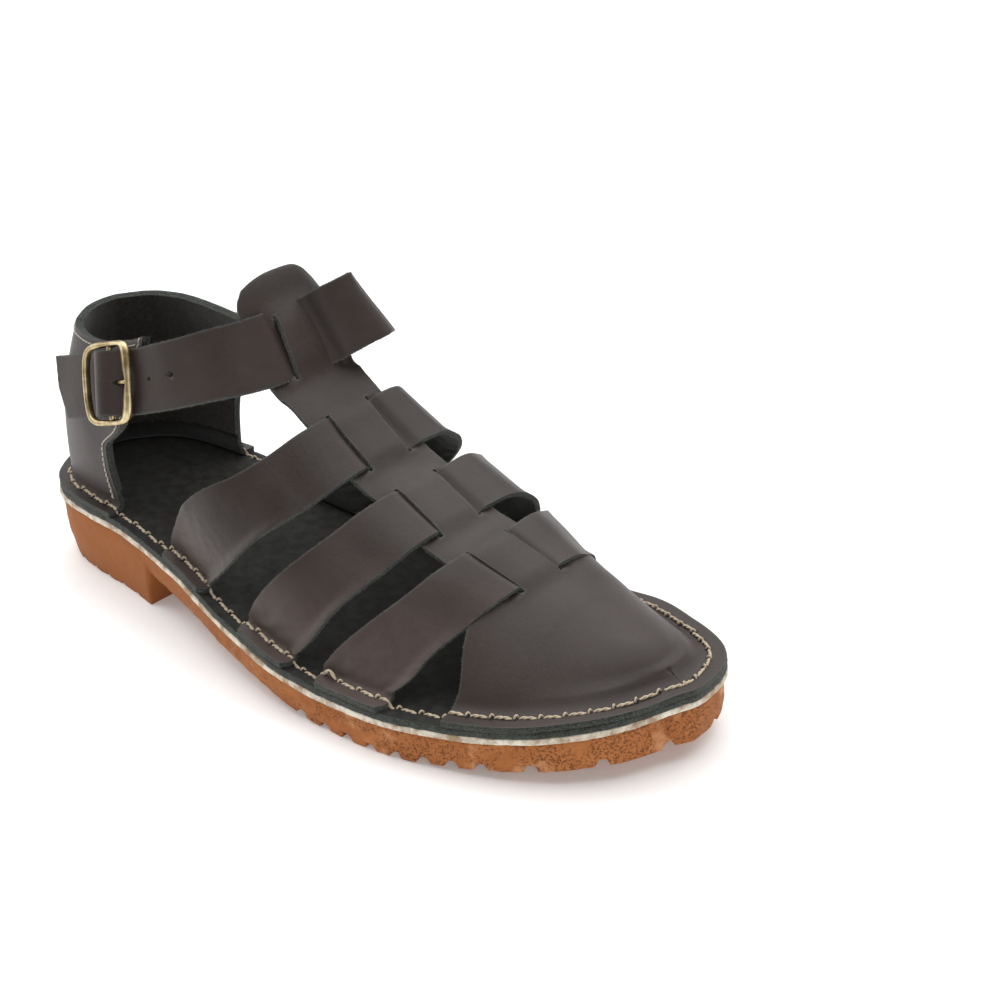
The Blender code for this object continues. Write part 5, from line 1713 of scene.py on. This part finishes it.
def make_outsole():
    """The rubber sole with its heel block, raised waist and notched, pitted lower edge."""
    stations = list(even_stations())
    breast = HEEL_BREAST / LENGTH
    top_of_breast = (HEEL_BREAST + BREAST_SLOPE) / LENGTH
    stations = sorted(stations + [breast, top_of_breast])
    loop = loop_of(stations)
    notch = notch_profile(loop) * LUG_DEPTH
    edge_x = outline(loop)[:, 0]
    rings = []
    side_shares = np.linspace(0, 1, 17)
    for depth in (LUG_REACH, LUG_REACH - LUG_WALL, LUG_REACH / 2, LUG_LIP):
        plan = rim(loop, bottom_set_in(edge_x) + depth)
        deep = notch if depth < LUG_REACH else 0.0
        rings.append(join_xyz(plan[:, 0], plan[:, 1], tread(plan[:, 0]) + deep))
    for share in side_shares:
        lower = ease(share / SIDE_STEP_SHARE)
        risen = SIDE_STRAIGHT * share + (1 - SIDE_STRAIGHT) * lower
        inset = bottom_set_in(edge_x) + (SOLE_SET_IN - bottom_set_in(edge_x)) * risen
        inset = inset + EDGE_EASE * (1 - min(1.0, share / EDGE_EASE_SHARE))
        inset = inset + TOP_EASE * max(0.0, share - 1 + TOP_EASE_SHARE) / TOP_EASE_SHARE
        plan = rim(loop, inset)
        low = tread(plan[:, 0])
        high = outsole_top(plan[:, 0])
        height = low + (high - low) * share
        height = np.maximum(height, low + notch * (1 - 0.02 * share))
        rings.append(join_xyz(plan[:, 0], plan[:, 1], height))
    rings.append(on_level(rim(loop, np.full(len(loop), SOLE_SET_IN + TOP_MARGIN)), outsole_top))
    rings = np.array(rings)
    way = inward(loop)
    rough = RUBBER_ROUGH * waves(rings, 0.006, 71, 16) + 0.6 * RUBBER_ROUGH * waves(rings, 0.02, 72)
    side = np.ones(len(rings))
    side[:3] = 0
    side[-1] = 0
    rings[..., 0] += way[None, :, 0] * rough * side[:, None]
    rings[..., 1] += way[None, :, 1] * rough * side[:, None]
    slots = [0] * (len(rings) - 1)
    obj = ring_solid("outsole_rubber_body", rings, [RUBBER], slots, 14, LUG_DEPTH)
    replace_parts(obj, "outsole")
    return obj


def make_layer(name, bottom, thickness, rough, seed, materials, node, set_in=0.0):
    """One thin layer over the sole, with a slightly uneven cut edge."""
    loop = loop_of(even_stations())
    rings = []
    shares = (0.0, 0.0, 0.12, 0.35, 0.65, 0.88, 1.0, 1.0)
    insets = (0.003, 0.0004, 0.0001, 0.0, 0.0, 0.0001, 0.0004, 0.003)
    for share, inset in zip(shares, insets):
        plan = rim(loop, np.full(len(loop), inset + set_in))
        rings.append(join_xyz(plan[:, 0], plan[:, 1], bottom(plan[:, 0]) + thickness * share))
    rings = np.array(rings)
    way = inward(loop)
    uneven = rough * waves(rings, 0.004, seed, 16) + rough * waves(rings, 0.015, seed + 1)
    uneven[[0, -1]] = 0
    rings[..., 0] += way[None, :, 0] * uneven
    rings[..., 1] += way[None, :, 1] * uneven
    middle = len(materials) - 1
    slots = [0] + [middle] * (len(rings) - 3) + [0]
    obj = ring_solid(name, rings, materials, slots, 40)
    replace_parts(obj, node)
    return obj


def make_midsole():
    """The cream layer, a little proud of the rubber under it."""
    make_layer(
        name="midsole_layer",
        bottom=outsole_top,
        thickness=CREAM_SHOWN,
        rough=CREAM_ROUGH,
        seed=81,
        materials=[CREAM],
        node="midsole",
        set_in=-CREAM_PROUD,
    )


def make_insole():
    """The insole's leather, with its cut edge all round."""
    make_layer(
        name="insole_layer",
        bottom=insole_bottom,
        thickness=INSOLE_THICKNESS + FIT_GAP,
        rough=INSOLE_ROUGH,
        seed=83,
        materials=[INSOLE_FACE, EDGE],
        node="insole",
    )


def frame_loops(count):
    """Outer and inner edge of the buckle's frame and its half thickness, all round."""
    half_long = BUCKLE_ALONG / 2
    half_wide = BUCKLE_ACROSS / 2
    turn = np.linspace(0, FULL_TURN, count, endpoint=False)
    c = np.cos(turn)
    s = np.sin(turn)
    power = 2 / FRAME_SQUARE
    outer = np.stack([np.sign(c) * abs(c) ** power * half_long, np.sign(s) * abs(s) ** power * half_wide], -1)
    bow = 1 - (outer[:, 1] / half_wide) ** 2
    outer[:, 0] += np.where(c > 0, BUCKLE_BOW * bow, 0)
    outer[:, 0] -= np.where(c < 0, FRONT_BOW_SHARE * BUCKLE_BOW * bow, 0)
    front = ease((-c - BAR_FROM) / BAR_OVER)
    rear = ease((c - BAR_FROM) / BAR_OVER)
    notch = np.exp(-((outer[:, 1] / NOTCH_LENGTH) ** 2))
    front_width = FRONT_BAR - (FRONT_BAR - FRONT_BAR_NECK) * notch
    width = SIDE_BAR + (REAR_BAR - SIDE_BAR) * rear + (front_width - SIDE_BAR) * front
    way = unit(np.roll(outer, -1, axis=0) - np.roll(outer, 1, axis=0))
    inner = outer + np.stack([-way[:, 1], way[:, 0]], -1) * width[:, None]
    thick = BUCKLE_BAR / 2 * (1 + FRONT_THICKER * front)
    return outer, inner, thick, front


def make_buckle_frame():
    """A cast frame: slim bowed rear bar, broad ridged front bar with a notch for the prong."""
    outer, inner, thick, front = frame_loops(FRAME_POINTS)
    half_long = BUCKLE_ALONG / 2 - BUCKLE_BAR / 2
    points = []
    faces = []
    for i in range(FRAME_POINTS):
        middle = (outer[i] + inner[i]) / 2
        reach = (outer[i] - inner[i]) / 2
        climb = min(1.0, (middle[0] / half_long) ** 2)
        base = CENTRE_HEIGHT + (BAR_HEIGHT - CENTRE_HEIGHT) * climb
        for k in range(BAR_SIDES):
            turn = FULL_TURN * k / BAR_SIDES
            c = math.cos(turn)
            s = math.sin(turn)
            ridge = front[i] * FRONT_RIDGE * max(0.0, s) * (1 - abs(c - 0.25)) ** 2
            place = middle + reach * math.copysign(abs(c) ** 0.8, c)
            level = math.copysign(abs(s) ** 0.85, s) * (1 - FRONT_FLATTER * front[i])
            height = base + thick[i] * (level + ridge)
            points.append(buckle_place(place[0], place[1], height))
    add_bands(faces, 0, FRAME_POINTS, BAR_SIDES, closed=True)
    half_wide = BUCKLE_ACROSS / 2 - BUCKLE_BAR / 2
    bar = [buckle_place(0, t * half_wide, CENTRE_HEIGHT) for t in np.linspace(-1, 1, 24)]
    tube_faces(points, faces, bar, CENTRE_BAR / 2, 14)
    obj = new_object("cast_buckle_frame", points, faces, [BRASS], None)
    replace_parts(obj, "buckle_frame")
    return obj


def make_prong():
    """The prong: a ring round the centre bar and a tapered pin with a rounded tip."""
    points = []
    faces = []
    turns = np.radians(np.linspace(0, 360, 33))
    ring = [
        buckle_place(RING_MIDDLE * math.cos(t), 0, CENTRE_HEIGHT + RING_MIDDLE * math.sin(t)) for t in turns
    ]
    tube_faces(points, faces, ring, PRONG_DIAMETER / 2, 12)
    climb = BAR_HEIGHT - CENTRE_HEIGHT + PRONG_REST
    steps = np.linspace(0, 1, 26)
    pin = []
    for t in steps:
        height = CENTRE_HEIGHT + climb * float(ease(t * PRONG_QUICKER))
        pin.append(buckle_place(-RING_MIDDLE - (PRONG_END - RING_MIDDLE) * t, 0, height))
    tip = np.sqrt(np.clip((PRONG_TIP_END - steps) / PRONG_TIP_OVER, 0, 1))
    tube_faces(points, faces, pin, PRONG_DIAMETER / 2 * (1 - PRONG_TAPER * steps) * tip, 12)
    obj = new_object("tapered_prong", points, faces, [BRASS], None)
    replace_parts(obj, "buckle_prong")
    return obj


def make_floor():
    half = FLOOR_HALF
    points = [(-half, -half, 0), (half, -half, 0), (half, half, 0), (-half, half, 0)]
    mesh = bpy.data.meshes.new("floor")
    mesh.from_pydata(points, [], [[0, 1, 2, 3]])
    floor = bpy.data.objects.new("floor", mesh)
    bpy.context.scene.collection.objects.link(floor)
    material, shader = node_material("pale_floor", FLOOR_COLOR, 0.55)
    shader.inputs["Specular IOR Level"].default_value = 0.2
    shader.inputs["Emission Color"].default_value = FLOOR_GLOW_COLOR
    shader.inputs["Emission Strength"].default_value = FLOOR_GLOW
    mesh.materials.append(material)
    return floor


def make_camera():
    data = bpy.data.cameras.new("camera")
    data.sensor_width = 36
    data.lens = CAMERA_LENS
    data.clip_start = 0.01
    camera = bpy.data.objects.new("camera", data)
    bpy.context.scene.collection.objects.link(camera)
    turn = Matrix([[CAMERA_RIGHT[k], CAMERA_UP[k], CAMERA_BACK[k]] for k in range(3)])
    camera.matrix_world = Matrix.Translation(CAMERA_PLACE) @ turn.to_4x4()
    bpy.context.scene.camera = camera


def area_light(name, place, target, power):
    data = bpy.data.lights.new(name, "AREA")
    data.shape = "RECTANGLE"
    data.size = LIGHT_SIZE
    data.size_y = LIGHT_SIZE
    data.energy = power
    light = bpy.data.objects.new(name, data)
    bpy.context.scene.collection.objects.link(light)
    light.location = place
    back = (np.array(place) - np.array(target)).tolist()
    light.rotation_euler = Vector(back).to_track_quat("Z", "Y").to_euler()


def make_lights():
    world = bpy.data.worlds.new("studio")
    world.use_nodes = True
    background = world.node_tree.nodes["Background"]
    background.inputs["Color"].default_value = (1, 1, 1, 1)
    background.inputs["Strength"].default_value = WORLD_STRENGTH
    bpy.context.scene.world = world
    data = bpy.data.lights.new("overhead", "SUN")
    data.energy = KEY_STRENGTH
    data.angle = math.radians(KEY_ANGLE)
    key = bpy.data.objects.new("overhead", data)
    bpy.context.scene.collection.objects.link(key)
    key.rotation_euler = Vector(KEY_FROM).to_track_quat("Z", "Y").to_euler()
    area_light("left", *LEFT_LIGHT)
    area_light("right", *RIGHT_LIGHT)
    bpy.context.scene.view_settings.view_transform = "Standard"


make_camera()
make_lights()
make_floor()

make_outsole()
make_midsole()
make_insole()
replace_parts(make_vamp(), "upper")
for strap_number in range(len(CROSS_STRAPS)):
    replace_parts(make_cross_strap(strap_number), "upper")
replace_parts(make_ankle_strap(), "upper")
for layer in make_counter():
    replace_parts(layer, "upper")
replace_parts(make_loop(), "upper")
make_edge_fibres()
make_counter_stitches()
make_needle_holes(make_welt_stitches())
make_buckle_frame()
make_prong()
